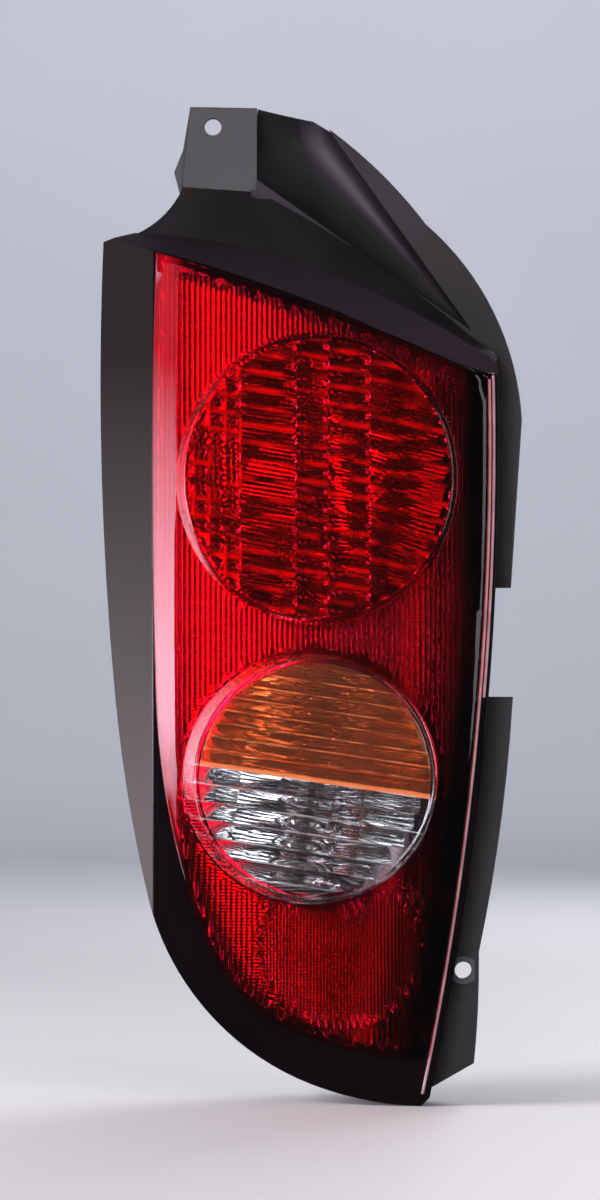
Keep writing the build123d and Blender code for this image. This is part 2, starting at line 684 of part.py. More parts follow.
# Flat screw tab with a deeper rib down its flank side
def screw_tab():
    rib_x = TAB_LEFT_TOP[0] + TAB_RIB_T
    flank = [at(TAB_LEFT_TOP), at(TAB_RIB_WAIST), at(TAB_RIB_BUMP), at(TAB_RIB_FOOT)]
    rib = polygon(*flank, at((rib_x, TAB_RIB_FOOT[1])), at((rib_x, TAB_LEFT_TOP[1])))
    plate = prism(tab_face(), 0, TAB_T)
    return plate + Pos(0, 0, -TAB_SINK) * plate + prism(rib, TAB_RIB_SINK, TAB_T + TAB_RIB_H)


def pad_y():
    return depth(rim_depth(LOWER_HOLE_X) + FLANGE_SETBACK - PAD_RISE)


# Flange with the scoop's wall behind it and the pad for the lower screw, clear of the tab's front
def flange():
    plate = column(FLANGE)
    body = plate & rim_slab(FLANGE_SETBACK, FLANGE_T)
    body += scoop(HOUSING_WALL) & plate & behind_rim(FLANGE_SETBACK)
    over_tab = Pos(TAB_RIGHT_TOP[0] - FAR / 2, 0, TAB_RIGHT_TOP[1] + FAR / 2) * Box(FAR, FAR, FAR)
    body = body - prism(tab_face(), FRONT_Y, 0) - over_tab
    return body + rod(LOWER_HOLE_X, LOWER_HOLE_Z, PAD_R, pad_y(), pad_y() + PAD_T)


def ports():
    return [(STOP_X, STOP_Z), signal_spot(BULB_SPREAD), signal_spot(-BULB_SPREAD)]


# Locating pins, vent spigot, collars round the holders and ribs on the back wall
def back_details():
    tip = WALL_Y + PIN_LENGTH
    parts = [rod(VENT_X, VENT_Z, SPIGOT_R, BACK_Y, WALL_Y + SPIGOT_LENGTH)]
    for x, z in PIN_SPOTS:
        taper = tip - PIN_TAPER
        parts.append(turned(x, z, [(0, BACK_Y), (PIN_R, BACK_Y), (PIN_R, taper), (PIN_R / 2, tip), (0, tip)]))
    for x, z in ports():
        collar = rod(x, z, HOLDER_FLANGE_R + COLLAR_GAP + RIB_T, BACK_Y, HOLDER_Y)
        parts.append(collar - rod(x, z, HOLDER_FLANGE_R + COLLAR_GAP))
    for z in RIB_HEIGHTS:
        parts.append(Pos(STOP_X, WALL_Y + RIB_H / 2, z) * Box(RIB_SPAN, RIB_H + 2 * OVERCUT, RIB_T))
    return parts


# Holes for the screws, the vent, the panel's screws and the holders with their lugs
def back_holes():
    holes = [rod(0, 0, SCREW_HOLE_R, FRONT_Y, TAB_T + OVERCUT)]
    holes.append(rod(LOWER_HOLE_X, LOWER_HOLE_Z, SCREW_HOLE_R, pad_y() - OVERCUT, pad_y() + PAD_T + OVERCUT))
    holes.append(rod(VENT_X, VENT_Z, SPIGOT_R / 2, BACK_Y - OVERCUT))
    for x, z in BOSS_SPOTS:
        holes.append(rod(x, z, SCREW_SHANK_R + FIT, BACK_Y - OVERCUT, WALL_Y + OVERCUT))
    for x, z in ports():
        holes.append(rod(x, z, PORT_R, BACK_Y - OVERCUT))
        holes += [prism(lug_face(x, z, k, FIT), BACK_Y - OVERCUT, WALL_Y + OVERCUT) for k in range(LUGS)]
    return holes


# Black moulded housing: skirt, shoulder, deep bowl, flange with its scoop, screw tab and groove for the lens
def rear_housing():
    bowl = bowl_block(0, WALL_Y)
    bowl = fillet(bowl.faces().sort_by(Axis.Y)[-1].edges(), BOWL_EDGE_R)
    body = skirt_body(0, 0, FLANGE_SETBACK + FLANGE_T) + (bowl & behind_rim(FLANGE_SETBACK))
    body = body + flange() - scoop(0) + screw_tab()
    body -= skirt_body(HOUSING_WALL, RIM_HEIGHT, FLANGE_SETBACK)
    body -= column(inset(LENS, RIM_REVEAL + RIM_WIDTH)) & rim_slab(-OVERCUT, RIM_HEIGHT + 2 * OVERCUT)
    body -= bowl_block(HOUSING_WALL, BACK_Y) & behind_rim(FLANGE_SETBACK - HOUSING_WALL)
    body -= lens_ring(GROOVE_INSET, GROOVE_WIDTH) & rim_slab(-OVERCUT, GROOVE_DEPTH + OVERCUT)
    return body + back_details() - back_holes()


# Sealing bead at the bottom of the housing's groove
def lens_seal():
    return lens_ring(GROOVE_INSET, GROOVE_WIDTH) & rim_slab(LEG_DEPTH, GROOVE_DEPTH - LEG_DEPTH)


# Foam ring that seals the housing against the car's body
def body_gasket():
    return lens_ring(GASKET_INSET, GASKET_WIDTH) & rim_slab(FLANGE_SETBACK + FLANGE_T, GASKET_T)


# Rubber cap over the vent spigot
def vent_cap():
    top = WALL_Y + SPIGOT_LENGTH
    cup = rod(VENT_X, VENT_Z, SPIGOT_R + FIT + VENT_CAP_WALL, WALL_Y, top + VENT_CAP_WALL)
    return cup - rod(VENT_X, VENT_Z, SPIGOT_R + FIT, WALL_Y - OVERCUT, top)


# Pan-head screws that pull the panel's bosses to the back wall
def panel_screws():
    cross = Box(SCREW_HEAD_R, SCREW_HEAD_H, SCREW_CROSS) + Box(SCREW_CROSS, SCREW_HEAD_H, SCREW_HEAD_R)
    screws = []
    for x, z in BOSS_SPOTS:
        head = rod(x, z, SCREW_HEAD_R, WALL_Y, WALL_Y + SCREW_HEAD_H)
        crown = head.edges().filter_by(GeomType.CIRCLE).sort_by(Axis.Y)[-1]
        head = fillet(crown, SCREW_HEAD_H / 2)
        shank = rod(x, z, SCREW_SHANK_R, BACK_Y - SCREW_BITE, WALL_Y + SCREW_HEAD_H / 4)
        screws.append(shank + head - Pos(x, WALL_Y + SCREW_HEAD_H, z) * cross)
    return Compound(screws)


# Quarter-turn lug as a ring sector
def lug_face(x, z, index, grow):
    r = LUG_R + grow
    half = radians(LUG_ANGLE) / 2 + grow / r
    turn = radians(360.0 / LUGS * index)
    spread = [turn - half, turn, turn + half]
    rim = [at((x + r * cos(a), z + r * sin(a))) for a in spread]
    root = [at((x + LUG_ROOT_R * cos(a), z + LUG_ROOT_R * sin(a))) for a in spread]
    return face_of(ThreePointArc(*rim), Line(rim[2], root[2]), Line(root[2], root[0]), Line(root[0], rim[0]))


# Quarter-turn bulb holder: sleeve, plug with its lugs, flange and grip with the wire holes
def bulb_holder(x, z, wires):
    plug_front = BACK_Y - PORT_GAP - LUG_T
    grip_back = HOLDER_Y + HOLDER_FLANGE_T + GRIP_LENGTH
    holder = rod(x, z, HOLDER_FLANGE_R, HOLDER_Y, HOLDER_Y + HOLDER_FLANGE_T)
    holder += rod(x, z, PLUG_R, plug_front, HOLDER_Y)
    holder += rod(x, z, SLEEVE_R, HOLDER_Y - SLEEVE_LENGTH, HOLDER_Y)
    holder += [prism(lug_face(x, z, k + 0.5, 0.0), plug_front, plug_front + LUG_T) for k in range(LUGS)]
    holder += rod(x, z, GRIP_R, HOLDER_Y, grip_back) & Pos(x, 0, z) * Box(2 * GRIP_R, FAR, GRIP_WIDTH)
    holder -= rod(x, z, BASE_R + BASE_FIT, FRONT_Y, HOLDER_Y)
    slot = Box(2 * (SLEEVE_R + OVERCUT), 2 * PIN_SLOT, 2 * (BASE_PIN_R + BASE_FIT))
    holder -= Pos(x, HOLDER_Y - SLEEVE_LENGTH, z) * slot
    for i in range(wires):
        wire_x = x + (i - (wires - 1) / 2) * WIRE_PITCH
        holder -= rod(wire_x, z, WIRE_HOLE_R, grip_back - WIRE_HOLE_DEPTH)
    return holder


def holder_seals():
    rings = []
    for x, z in ports():
        rings.append(rod(x, z, SEAL_OUTER_R, WALL_Y, WALL_Y + SEAL_T) - rod(x, z, SEAL_INNER_R))
    return Compound(rings)


# Spring contacts on the floor of a sleeve
def contacts(x, z, count):
    pads = []
    for i in range(count):
        pad_x = x + (i - (count - 1) / 2) * CONTACT_PITCH
        foot = rod(pad_x, z, CONTACT_R, HOLDER_Y - CONTACT_H / 2, HOLDER_Y)
        pads.append(foot + rod(pad_x, z, CONTACT_R / 2, HOLDER_Y - CONTACT_H, HOLDER_Y))
    return pads[0] if count == 1 else Compound(pads)


# Bayonet base of a bulb with its two side pins
def bulb_base(x, z):
    foot = GLASS_Y + BASE_LENGTH
    points = [(0, foot), (BASE_R - BASE_CHAMFER, foot), (BASE_R, foot - BASE_CHAMFER)]
    points += [(BASE_R, GLASS_Y + BASE_CHAMFER), (BASE_R - BASE_LIP, GLASS_Y), (0, GLASS_Y)]
    pin = Cylinder(BASE_PIN_R, 2 * (BASE_R + BASE_PIN_REACH), rotation=(0, 90, 0))
    return turned(x, z, points) + Pos(x, GLASS_Y + BASE_PIN_HEIGHT, z) * pin


def glass_blank(x, z, shift):
    r = GLASS_R - shift
    neck_r = NECK_R - shift
    ball = GLASS_Y - GLASS_LENGTH + GLASS_R
    swell = radians(GLASS_SWELL)
    turn = (x + r * cos(swell), ball + r * sin(swell), z)
    round_end = ThreePointArc((x, ball - r, z), (x + r, ball, z), turn)
    neck = [(x + neck_r, GLASS_Y - NECK_LENGTH, z), (x + neck_r, GLASS_Y, z)]
    rest = Polyline(turn, *neck, (x, GLASS_Y, z), (x, ball - r, z))
    return revolve(face_of(round_end, *rest.edges()), axis=Axis((x, 0, z), (0, 1, 0)))


def bulb_glass(x, z):
    return glass_blank(x, z, 0) - glass_blank(x, z, GLASS_WALL)


# Coiled filaments on their lead wires
def bulb_filaments():
    coil_y = GLASS_Y - GLASS_LENGTH + GLASS_R + FILAMENT_DROP
    reach = FILAMENT_SPAN / 2 - 2 * LEAD_R
    wires = []
    for x, z in ports():
        coil = Pos(x, coil_y, z) * Cylinder(FILAMENT_R, FILAMENT_SPAN, rotation=(0, 90, 0))
        leads = [rod(x + side * reach, z, LEAD_R, coil_y, GLASS_Y) for side in (-1, 1)]
        wires.append(coil + leads)
    return Compound(wires)


LENS = lens_outline()
WINDOW = window_outline()
SKIRT = skirt_outline()
FLANGE = flange_outline()
STOP, INDICATOR, REVERSE = ports()

NODES = {
    "rear_housing": rear_housing(),
    "lens_border": lens_border(),
    "red_lens": red_lens(),
    "clear_lens": clear_lens(),
    "amber_filter": amber_filter(),
    "stop_reflector": stop_reflector(),
    "signal_reflector": signal_reflector(),
    "bezel_panel": bezel_panel(),
    "lens_seal": lens_seal(),
    "body_gasket": body_gasket(),
    "vent_cap": vent_cap(),
    "panel_screws": panel_screws(),
    "holder_seals": holder_seals(),
    "stop_holder": bulb_holder(*STOP, 3),
    "indicator_holder": bulb_holder(*INDICATOR, 2),
    "reverse_holder": bulb_holder(*REVERSE, 2),
    "stop_contacts": contacts(*STOP, 2),
    "indicator_contact": contacts(*INDICATOR, 1),
    "reverse_contact": contacts(*REVERSE, 1),
    "stop_bulb_base": bulb_base(*STOP),
    "indicator_bulb_base": bulb_base(*INDICATOR),
    "reverse_bulb_base": bulb_base(*REVERSE),
    "stop_bulb_glass": bulb_glass(*STOP),
    "indicator_bulb_glass": bulb_glass(*INDICATOR),
    "reverse_bulb_glass": bulb_glass(*REVERSE),
    "bulb_filaments": bulb_filaments(),
}

os.makedirs("parts", exist_ok=True)
for name, shape in NODES.items():
    export_step(shape, f"parts/{name}.step")
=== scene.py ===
import math

import bmesh
import bpy
import numpy as np
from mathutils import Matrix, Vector
from mathutils.geometry import delaunay_2d_cdt


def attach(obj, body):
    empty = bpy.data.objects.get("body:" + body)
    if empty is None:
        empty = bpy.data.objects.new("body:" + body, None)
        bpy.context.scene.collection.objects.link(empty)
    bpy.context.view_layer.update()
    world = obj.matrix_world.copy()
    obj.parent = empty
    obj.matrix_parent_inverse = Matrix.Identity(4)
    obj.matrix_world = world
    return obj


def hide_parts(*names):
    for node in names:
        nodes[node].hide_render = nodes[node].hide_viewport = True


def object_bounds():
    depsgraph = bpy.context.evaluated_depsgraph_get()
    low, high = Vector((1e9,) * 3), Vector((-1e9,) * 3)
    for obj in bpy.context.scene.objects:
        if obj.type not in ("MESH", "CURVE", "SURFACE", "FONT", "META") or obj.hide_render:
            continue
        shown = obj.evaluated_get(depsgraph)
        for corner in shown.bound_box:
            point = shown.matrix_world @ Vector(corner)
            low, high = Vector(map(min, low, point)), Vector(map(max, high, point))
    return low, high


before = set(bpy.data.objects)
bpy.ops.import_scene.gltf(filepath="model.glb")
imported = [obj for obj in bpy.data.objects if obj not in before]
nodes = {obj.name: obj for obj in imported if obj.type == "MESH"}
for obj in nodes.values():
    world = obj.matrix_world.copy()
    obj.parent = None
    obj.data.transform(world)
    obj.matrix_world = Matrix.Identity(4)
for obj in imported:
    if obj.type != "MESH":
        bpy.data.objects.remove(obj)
cad_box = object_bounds()

# Rear housing: one moulding of black ABS with a fine spark-eroded grain, made in a two-part tool.
# It carries everything else and is screwed to the car's body by its tab and its lower pad.
MM = 0.001
GRAIN = 0.5 * MM
SCUFF = 30 * MM
EDGE_ROUND = 0.6 * MM
GRAIN_RELIEF = 0.05 * MM


# A colour as the eye names it, turned into the linear light that shaders work in
def linear(hex_colour):
    channels = [int(hex_colour[i:i + 2], 16) / 255 for i in (1, 3, 5)]
    return [c / 12.92 if c <= 0.04045 else ((c + 0.055) / 1.055) ** 2.4 for c in channels] + [1.0]


# One shader node with its inputs linked or set, and the stops of its ramp where it has one
def add_node(material, kind, inputs=None, stops=(), **settings):
    node = material.node_tree.nodes.new("ShaderNode" + kind)
    for name, value in settings.items():
        setattr(node, name, value)
    for name, value in (inputs or {}).items():
        if isinstance(value, bpy.types.NodeSocket):
            material.node_tree.links.new(value, node.inputs[name])
        else:
            node.inputs[name].default_value = value
    for i, (position, colour) in enumerate(stops):
        elements = node.color_ramp.elements
        element = elements[i] if i < len(elements) else elements.new(position)
        element.position = position
        element.color = linear(colour)
    return node


def new_material(name):
    material = bpy.data.materials.new(name)
    material.use_nodes = True
    material.node_tree.nodes.clear()
    return material


def dress(material, *names):
    for name in names:
        nodes[name].data.materials.clear()
        nodes[name].data.materials.append(material)


# Moulded black ABS: a dull sheen that varies a little from place to place over a fine grain. The real grain
# is a few tenths of this size, and is drawn coarser so that it shows.
black_abs = new_material("ABS_black_grained")
place = add_node(black_abs, "TexCoord").outputs["Object"]
grain = add_node(black_abs, "TexNoise", {"Vector": place, "Scale": 1 / GRAIN, "Detail": 3.0})
scuff = add_node(black_abs, "TexNoise", {"Vector": place, "Scale": 1 / SCUFF, "Detail": 5.0})
tone = add_node(black_abs, "ValToRGB", {"Fac": scuff.outputs["Fac"]},
                ((0.35, "#181618"), (0.7, "#211e21")))
sheen = add_node(black_abs, "MapRange", {"Value": scuff.outputs["Fac"], "To Min": 0.4, "To Max": 0.52})
edge = add_node(black_abs, "Bevel", {"Radius": EDGE_ROUND})
bump = add_node(black_abs, "Bump", {
    "Height": grain.outputs["Fac"], "Strength": 0.15, "Distance": GRAIN_RELIEF,
    "Normal": edge.outputs["Normal"],
})
shader = add_node(black_abs, "BsdfPrincipled", {
    "Base Color": tone.outputs["Color"], "Roughness": sheen.outputs["Result"],
    "Normal": bump.outputs["Normal"], "IOR": 1.53,
})
add_node(black_abs, "OutputMaterial", {"Surface": shader.outputs["BSDF"]})
dress(black_abs, "rear_housing")


# Seals: a bead of butyl sealant laid in the housing's groove, a die-cut gasket of closed-cell foam stuck on
# the back, rubber rings under the bulb holders and a rubber cap on the vent spigot.
def matt_material(name, dark, pale, speck, roughness, relief):
    material = new_material(name)
    place = add_node(material, "TexCoord").outputs["Object"]
    specks = add_node(material, "TexNoise", {"Vector": place, "Scale": 1 / speck, "Detail": 4.0})
    tone = add_node(material, "ValToRGB", {"Fac": specks.outputs["Fac"]}, ((0.35, dark), (0.65, pale)))
    bump = add_node(material, "Bump", {
        "Height": specks.outputs["Fac"], "Strength": 0.5, "Distance": relief,
    })
    shader = add_node(material, "BsdfPrincipled", {
        "Base Color": tone.outputs["Color"], "Roughness": roughness, "Normal": bump.outputs["Normal"],
        "IOR": 1.5,
    })
    add_node(material, "OutputMaterial", {"Surface": shader.outputs["BSDF"]})
    return material


# Butyl is tacky and half dull. Foam shows its open cut cells, which are drawn a little coarse. Rubber is
# even and dull.
dress(matt_material("Butyl_sealant_black", "#2c2b2e", "#39383b", 4 * MM, 0.55, 0.2 * MM), "lens_seal")
dress(matt_material("PE_foam_cut", "#1d1d20", "#35353a", 0.8 * MM, 0.95, 0.3 * MM), "body_gasket")
dress(matt_material("EPDM_rubber_moulded", "#151516", "#1e1e20", 1.5 * MM, 0.6, 0.05 * MM),
      "vent_cap", "holder_seals")

# Bulb holders: three sockets of grey PBT moulded with a finger grip, turned a fraction of a turn into the
# housing's ports, with stamped brass contacts pressed in.

# Moulded grey PBT: an even grey with a soft half gloss
grey_pbt = matt_material("PBT_grey_moulded", "#67676a", "#737377", 6 * MM, 0.42, 0.03 * MM)
dress(grey_pbt, "stop_holder", "indicator_holder", "reverse_holder")


# Stamped metal: a soft gloss broken by the drawing marks of the tool
def metal_material(name, dark, pale, speck, roughness):
    material = new_material(name)
    place = add_node(material, "TexCoord").outputs["Object"]
    marks = add_node(material, "TexNoise", {"Vector": place, "Scale": 1 / speck, "Detail": 4.0})
    tone = add_node(material, "ValToRGB", {"Fac": marks.outputs["Fac"]}, ((0.35, dark), (0.65, pale)))
    sheen = add_node(material, "MapRange", {
        "Value": marks.outputs["Fac"], "To Min": roughness * 0.7, "To Max": roughness * 1.3,
    })
    shader = add_node(material, "BsdfPrincipled", {
        "Base Color": tone.outputs["Color"], "Metallic": 1.0, "Roughness": sheen.outputs["Result"],
    })
    add_node(material, "OutputMaterial", {"Surface": shader.outputs["BSDF"]})
    return material


dress(metal_material("Brass_stamped", "#b98d3f", "#d2ab5c", 2 * MM, 0.25),
      "stop_contacts", "indicator_contact", "reverse_contact")

# Bulbs: envelopes of blown glass cemented into bayonet bases of drawn, nickelled brass, with coiled
# tungsten filaments on wire leads. Each is pushed and turned into its holder.

# Drawn nickelled brass is pale and warm with a bright gloss, and tungsten wire is a dull mid grey
dress(metal_material("Nickelled_brass_drawn", "#a9a59b", "#c9c6bf", 2 * MM, 0.22),
      "stop_bulb_base", "indicator_bulb_base", "reverse_bulb_base")
dress(metal_material("Tungsten_wire", "#5d5a58", "#7a7673", 0.5 * MM, 0.4), "bulb_filaments")


# Glass and clear plastics bend what is behind them, and colour the light of the lamps on its way through
def clear_material(name, pale, deep, ripple, relief, clarity, ior, through):
    material = new_material(name)
    place = add_node(material, "TexCoord").outputs["Object"]
    waves = add_node(material, "TexNoise", {"Vector": place, "Scale": 1 / ripple, "Detail": 2.0})
    tone = add_node(material, "ValToRGB", {"Fac": waves.outputs["Fac"]}, ((0.3, pale), (0.7, deep)))
    bump = add_node(material, "Bump", {
        "Height": waves.outputs["Fac"], "Strength": 0.3, "Distance": relief,
    })
    shader = add_node(material, "BsdfPrincipled", {
        "Base Color": tone.outputs["Color"], "Roughness": 0.0, "IOR": ior, "Transmission Weight": clarity,
        "Normal": bump.outputs["Normal"],
    })
    pass_through = add_node(material, "BsdfTransparent", {"Color": linear(through)})
    ray = add_node(material, "LightPath").outputs["Is Shadow Ray"]
    mix = add_node(material, "MixShader", {
        "Fac": ray, 1: shader.outputs["BSDF"], 2: pass_through.outputs["BSDF"],
    })
    add_node(material, "OutputMaterial", {"Surface": mix.outputs["Shader"]})
    return material


dress(clear_material("Soda_glass_blown", "#f6f8f6", "#fdfffd", 9 * MM, 0.05 * MM, 1.0, 1.52, "#f4f6f4"),
      "stop_bulb_glass", "indicator_bulb_glass", "reverse_bulb_glass")

# Reflectors: bowls of moulded polycarbonate, lacquered and coated with aluminium under vacuum. Their faces
# are small pillows in leaning rows: each facet of the bowl swells a little, which spreads the bulb's light.
STOP_AXIS = (41.5, -147.5)
CAP_AXIS = (42.1, -267.8)
SPLIT_LEAN = math.radians(8.4)
SPLIT_DROP = 1.4
BULB_SPREAD = 22.5
BOWL_TIP_Y = 9.0
STOP_COLUMNS = (-58, -48, -40, -32, -21, -10, 1, 12, 30, 58)
SIGNAL_COLUMNS = (-48, -30, -10, 10, 22, 48)
STOP_ROW = 7.8
SIGNAL_ROW = 6.6
STOP_ROWS = 7
SIGNAL_ROWS = 11
STOP_FOCUS = 18.0
SIGNAL_FOCUS = 15.0
STOP_BOWL_R = 52.4
SIGNAL_BOWL_R = 43.9
BULB_HOLE_R = 13.6
HALF_SHELF = 1.05
PILLOW_RISE = 0.35
PILLOW_LIFT = 0.06
PILLOW_STEPS = 8
OFF_AXIS = 1e-6
PEEL = 3 * MM
PEEL_RELIEF = 0.05 * MM

# Aluminium laid on lacquer: a mirror with a trace of orange peel
mirror = new_material("Aluminium_vacuum_coat_on_lacquer")
place = add_node(mirror, "TexCoord").outputs["Object"]
peel = add_node(mirror, "TexNoise", {"Vector": place, "Scale": 1 / PEEL, "Detail": 2.0})
tone = add_node(mirror, "ValToRGB", {"Fac": peel.outputs["Fac"]}, ((0.3, "#dcdde0"), (0.7, "#eceded")))
bump = add_node(mirror, "Bump", {"Height": peel.outputs["Fac"], "Strength": 0.25, "Distance": PEEL_RELIEF})
shader = add_node(mirror, "BsdfPrincipled", {
    "Base Color": tone.outputs["Color"], "Metallic": 1.0, "Roughness": 0.05,
    "Normal": bump.outputs["Normal"],
})
add_node(mirror, "OutputMaterial", {"Surface": shader.outputs["BSDF"]})
dress(mirror, "stop_reflector", "signal_reflector")


# One pillow for each facet of a bowl, drawn in to the round wall, the bulb's hole and the shelf
def pillow_facets(shape, axis, columns, row, rows, focus, wall_axis, wall_r, shelf_side):
    lean_cos, lean_sin = math.cos(SPLIT_LEAN), math.sin(SPLIT_LEAN)

    def bowl_y(u, v):
        return BOWL_TIP_Y - (u * u + v * v) / (4 * focus)

    def draw_in(x, z, centre, r):
        reach = math.hypot(x - centre[0], z - centre[1])
        return centre[0] + (x - centre[0]) * r / reach, centre[1] + (z - centre[1]) * r / reach

    def point(left, right, low, high, s, t):
        u, v = left + (right - left) * s, low + (high - low) * t
        kept = not shelf_side or shelf_side * v > HALF_SHELF - BULB_SPREAD
        if not kept:
            v = shelf_side * (HALF_SHELF - BULB_SPREAD)
        x = axis[0] + u * lean_cos + v * lean_sin
        z = axis[1] - u * lean_sin + v * lean_cos
        if math.hypot(x - wall_axis[0], z - wall_axis[1]) > wall_r:
            x, z = draw_in(x, z, wall_axis, wall_r)
            kept = False
        elif math.hypot(x - axis[0], z - axis[1]) < BULB_HOLE_R:
            x, z = draw_in(x + OFF_AXIS, z, axis, BULB_HOLE_R)
            kept = False
        u = (x - axis[0]) * lean_cos - (z - axis[1]) * lean_sin
        v = (x - axis[0]) * lean_sin + (z - axis[1]) * lean_cos
        s, t = (u - left) / (right - left), (v - low) / (high - low)
        plane_y = bowl_y(left, low) + (bowl_y(right, low) - bowl_y(left, low)) * s
        plane_y += (bowl_y(left, high) - bowl_y(left, low)) * t
        s, t = min(max(s, 0), 1), min(max(t, 0), 1)
        # The product below is a sixteenth at the facet's middle, which so swells by the full rise
        y = plane_y - PILLOW_LIFT - PILLOW_RISE * 16 * s * (1 - s) * t * (1 - t)
        return (x * MM, y * MM, z * MM), kept

    steps = range(PILLOW_STEPS + 1)
    for left, right in zip(columns, columns[1:]):
        for k in range(-rows, rows):
            spots = [[point(left, right, k * row, (k + 1) * row, i / PILLOW_STEPS, j / PILLOW_STEPS)
                      for j in steps] for i in steps]
            if not any(kept for line in spots for _, kept in line):
                continue
            verts = [[shape.verts.new(place) for place, _ in line] for line in spots]
            for i in range(PILLOW_STEPS):
                for j in range(PILLOW_STEPS):
                    corners = [(i, j), (i, j + 1), (i + 1, j + 1), (i + 1, j)]
                    if any(spots[a][b][1] for a, b in corners):
                        shape.faces.new([verts[a][b] for a, b in corners]).smooth = True


# Makes a shape into a named piece that rides on the lamp, in place of any nodes named last
def finish_piece(shape, name, material, slot, *replaced):
    mesh = bpy.data.meshes.new(name)
    shape.to_mesh(mesh)
    shape.free()
    mesh.materials.append(material)
    piece = bpy.data.objects.new(name, mesh)
    bpy.context.scene.collection.objects.link(piece)
    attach(piece, "root")
    for node in replaced:
        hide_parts(node)


shape = bmesh.new()
pillow_facets(shape, STOP_AXIS, STOP_COLUMNS, STOP_ROW, STOP_ROWS, STOP_FOCUS, STOP_AXIS, STOP_BOWL_R, 0)
finish_piece(shape, "stop_reflector_pillows", mirror, "metallised_plastic")
shape = bmesh.new()
for side in (1, -1):
    rise = side * BULB_SPREAD
    axis = (
        CAP_AXIS[0] + rise * math.sin(SPLIT_LEAN),
        CAP_AXIS[1] - SPLIT_DROP + rise * math.cos(SPLIT_LEAN),
    )
    pillow_facets(shape, axis, SIGNAL_COLUMNS, SIGNAL_ROW, SIGNAL_ROWS, SIGNAL_FOCUS,
                  CAP_AXIS, SIGNAL_BOWL_R, side)
finish_piece(shape, "signal_reflector_pillows", mirror, "metallised_plastic")

# Bezel panel: a thin moulded plate behind the red window, coated with aluminium over fine cross ribs. It is
# held to the housing by four tapping screws of zinc-plated steel.
PANEL_RIB = 1.3 * MM
WAVE_SCALE = math.pi / 10 / PANEL_RIB
RIB_RELIEF = 0.2 * MM
PANEL_HAZE = 12 * MM
EDGE_TOP, EDGE_LEAN, EDGE_BOW = 111.4, -0.01617, -3.785e-4
EDGE_TOP_Z = -107.0
# Spans across the tailgate side over which shade is painted onto the panel's coat
PANEL_SHADE_STRIP = (-36.0 * MM, -20.0 * MM)
PANEL_SHADE_FADE = (-125.0 * MM, -50.0 * MM)
PANEL_SHADE_MOST = 0.65


# How far a spot lies beyond the window's bowed tailgate edge
def from_tailgate(material):
    place = add_node(material, "TexCoord").outputs["Object"]
    spot = add_node(material, "SeparateXYZ", {"Vector": place})
    down = add_node(material, "Math", {0: spot.outputs["Z"], 1: EDGE_TOP_Z * MM}, operation="SUBTRACT")
    bow = add_node(material, "Math", {
        0: down.outputs["Value"], 1: EDGE_BOW / MM, 2: EDGE_LEAN,
    }, operation="MULTIPLY_ADD")
    side = add_node(material, "Math", {
        0: down.outputs["Value"], 1: bow.outputs["Value"], 2: EDGE_TOP * MM,
    }, operation="MULTIPLY_ADD")
    beyond = add_node(material, "Math", {
        0: spot.outputs["X"], 1: side.outputs["Value"],
    }, operation="SUBTRACT")
    return beyond.outputs["Value"]


# Aluminium over ribs: a broken mirror that shows through the lens flutes as rows of beads. Shade is painted
# on
# towards the tailgate side: the mirror is darkened there, and along the edge it is painted black and no
# longer metal.
panel_coat = new_material("Aluminium_vacuum_coat_on_ribs")
place = add_node(panel_coat, "TexCoord").outputs["Object"]
ribs = add_node(panel_coat, "TexWave", {"Vector": place, "Scale": WAVE_SCALE}, bands_direction="Z")
haze = add_node(panel_coat, "TexNoise", {"Vector": place, "Scale": 1 / PANEL_HAZE})
tone = add_node(panel_coat, "ValToRGB", {"Fac": haze.outputs["Fac"]}, ((0.3, "#dadadd"), (0.7, "#e8e8ea")))
bump = add_node(panel_coat, "Bump", {
    "Height": ribs.outputs["Fac"], "Strength": 1.0, "Distance": RIB_RELIEF,
})
short = from_tailgate(panel_coat)
shaded_strip = add_node(panel_coat, "MapRange", {
    "Value": short, "From Min": PANEL_SHADE_STRIP[0], "From Max": PANEL_SHADE_STRIP[1],
}, interpolation_type="SMOOTHSTEP")
shade_fade = add_node(panel_coat, "MapRange", {
    "Value": short, "From Min": PANEL_SHADE_FADE[0], "From Max": PANEL_SHADE_FADE[1], "To Max": PANEL_SHADE_MOST,
})
dark = add_node(panel_coat, "Math", {
    0: shaded_strip.outputs["Result"], 1: shade_fade.outputs["Result"],
}, operation="MAXIMUM")
metal_share = add_node(panel_coat, "Math", {0: 1.0, 1: shaded_strip.outputs["Result"]}, operation="SUBTRACT")
painted_light_tint = add_node(panel_coat, "MixRGB", {
    "Fac": dark.outputs["Value"], "Color1": tone.outputs["Color"], "Color2": linear("#0b090a"),
})
shader = add_node(panel_coat, "BsdfPrincipled", {
    "Base Color": painted_light_tint.outputs["Color"], "Metallic": metal_share.outputs["Value"], "Roughness": 0.22,
    "Normal": bump.outputs["Normal"],
})
add_node(panel_coat, "OutputMaterial", {"Surface": shader.outputs["BSDF"]})
dress(panel_coat, "bezel_panel")

# Zinc-plated steel: a soft, bluish grey gloss
dress(metal_material("Steel_zinc_plated", "#9a9da3", "#b9bcc2", 1.5 * MM, 0.3), "panel_screws")

# Amber filter: a half-moon cup of amber PMMA, moulded with lens flutes inside. It is clipped into the upper
# half of the clear cap, over the indicator's bowl.
AMBER_FLUTE = 5.4
AMBER_WALL = 1.8
AMBER_CLARITY = 0.97
AMBER_FROST = 0.6
CUT_WALL = (-0.1, 0.05)
FLUTE_LINE = 0.06
FLUTE_MARGIN = 0.1
LINE_BREAK = 12 * MM
LINE_PATCHES = (0.4, 0.62)
MOULD_RIPPLE = 25 * MM
MOULD_RELIEF = 0.02 * MM
PMMA_IOR = 1.49


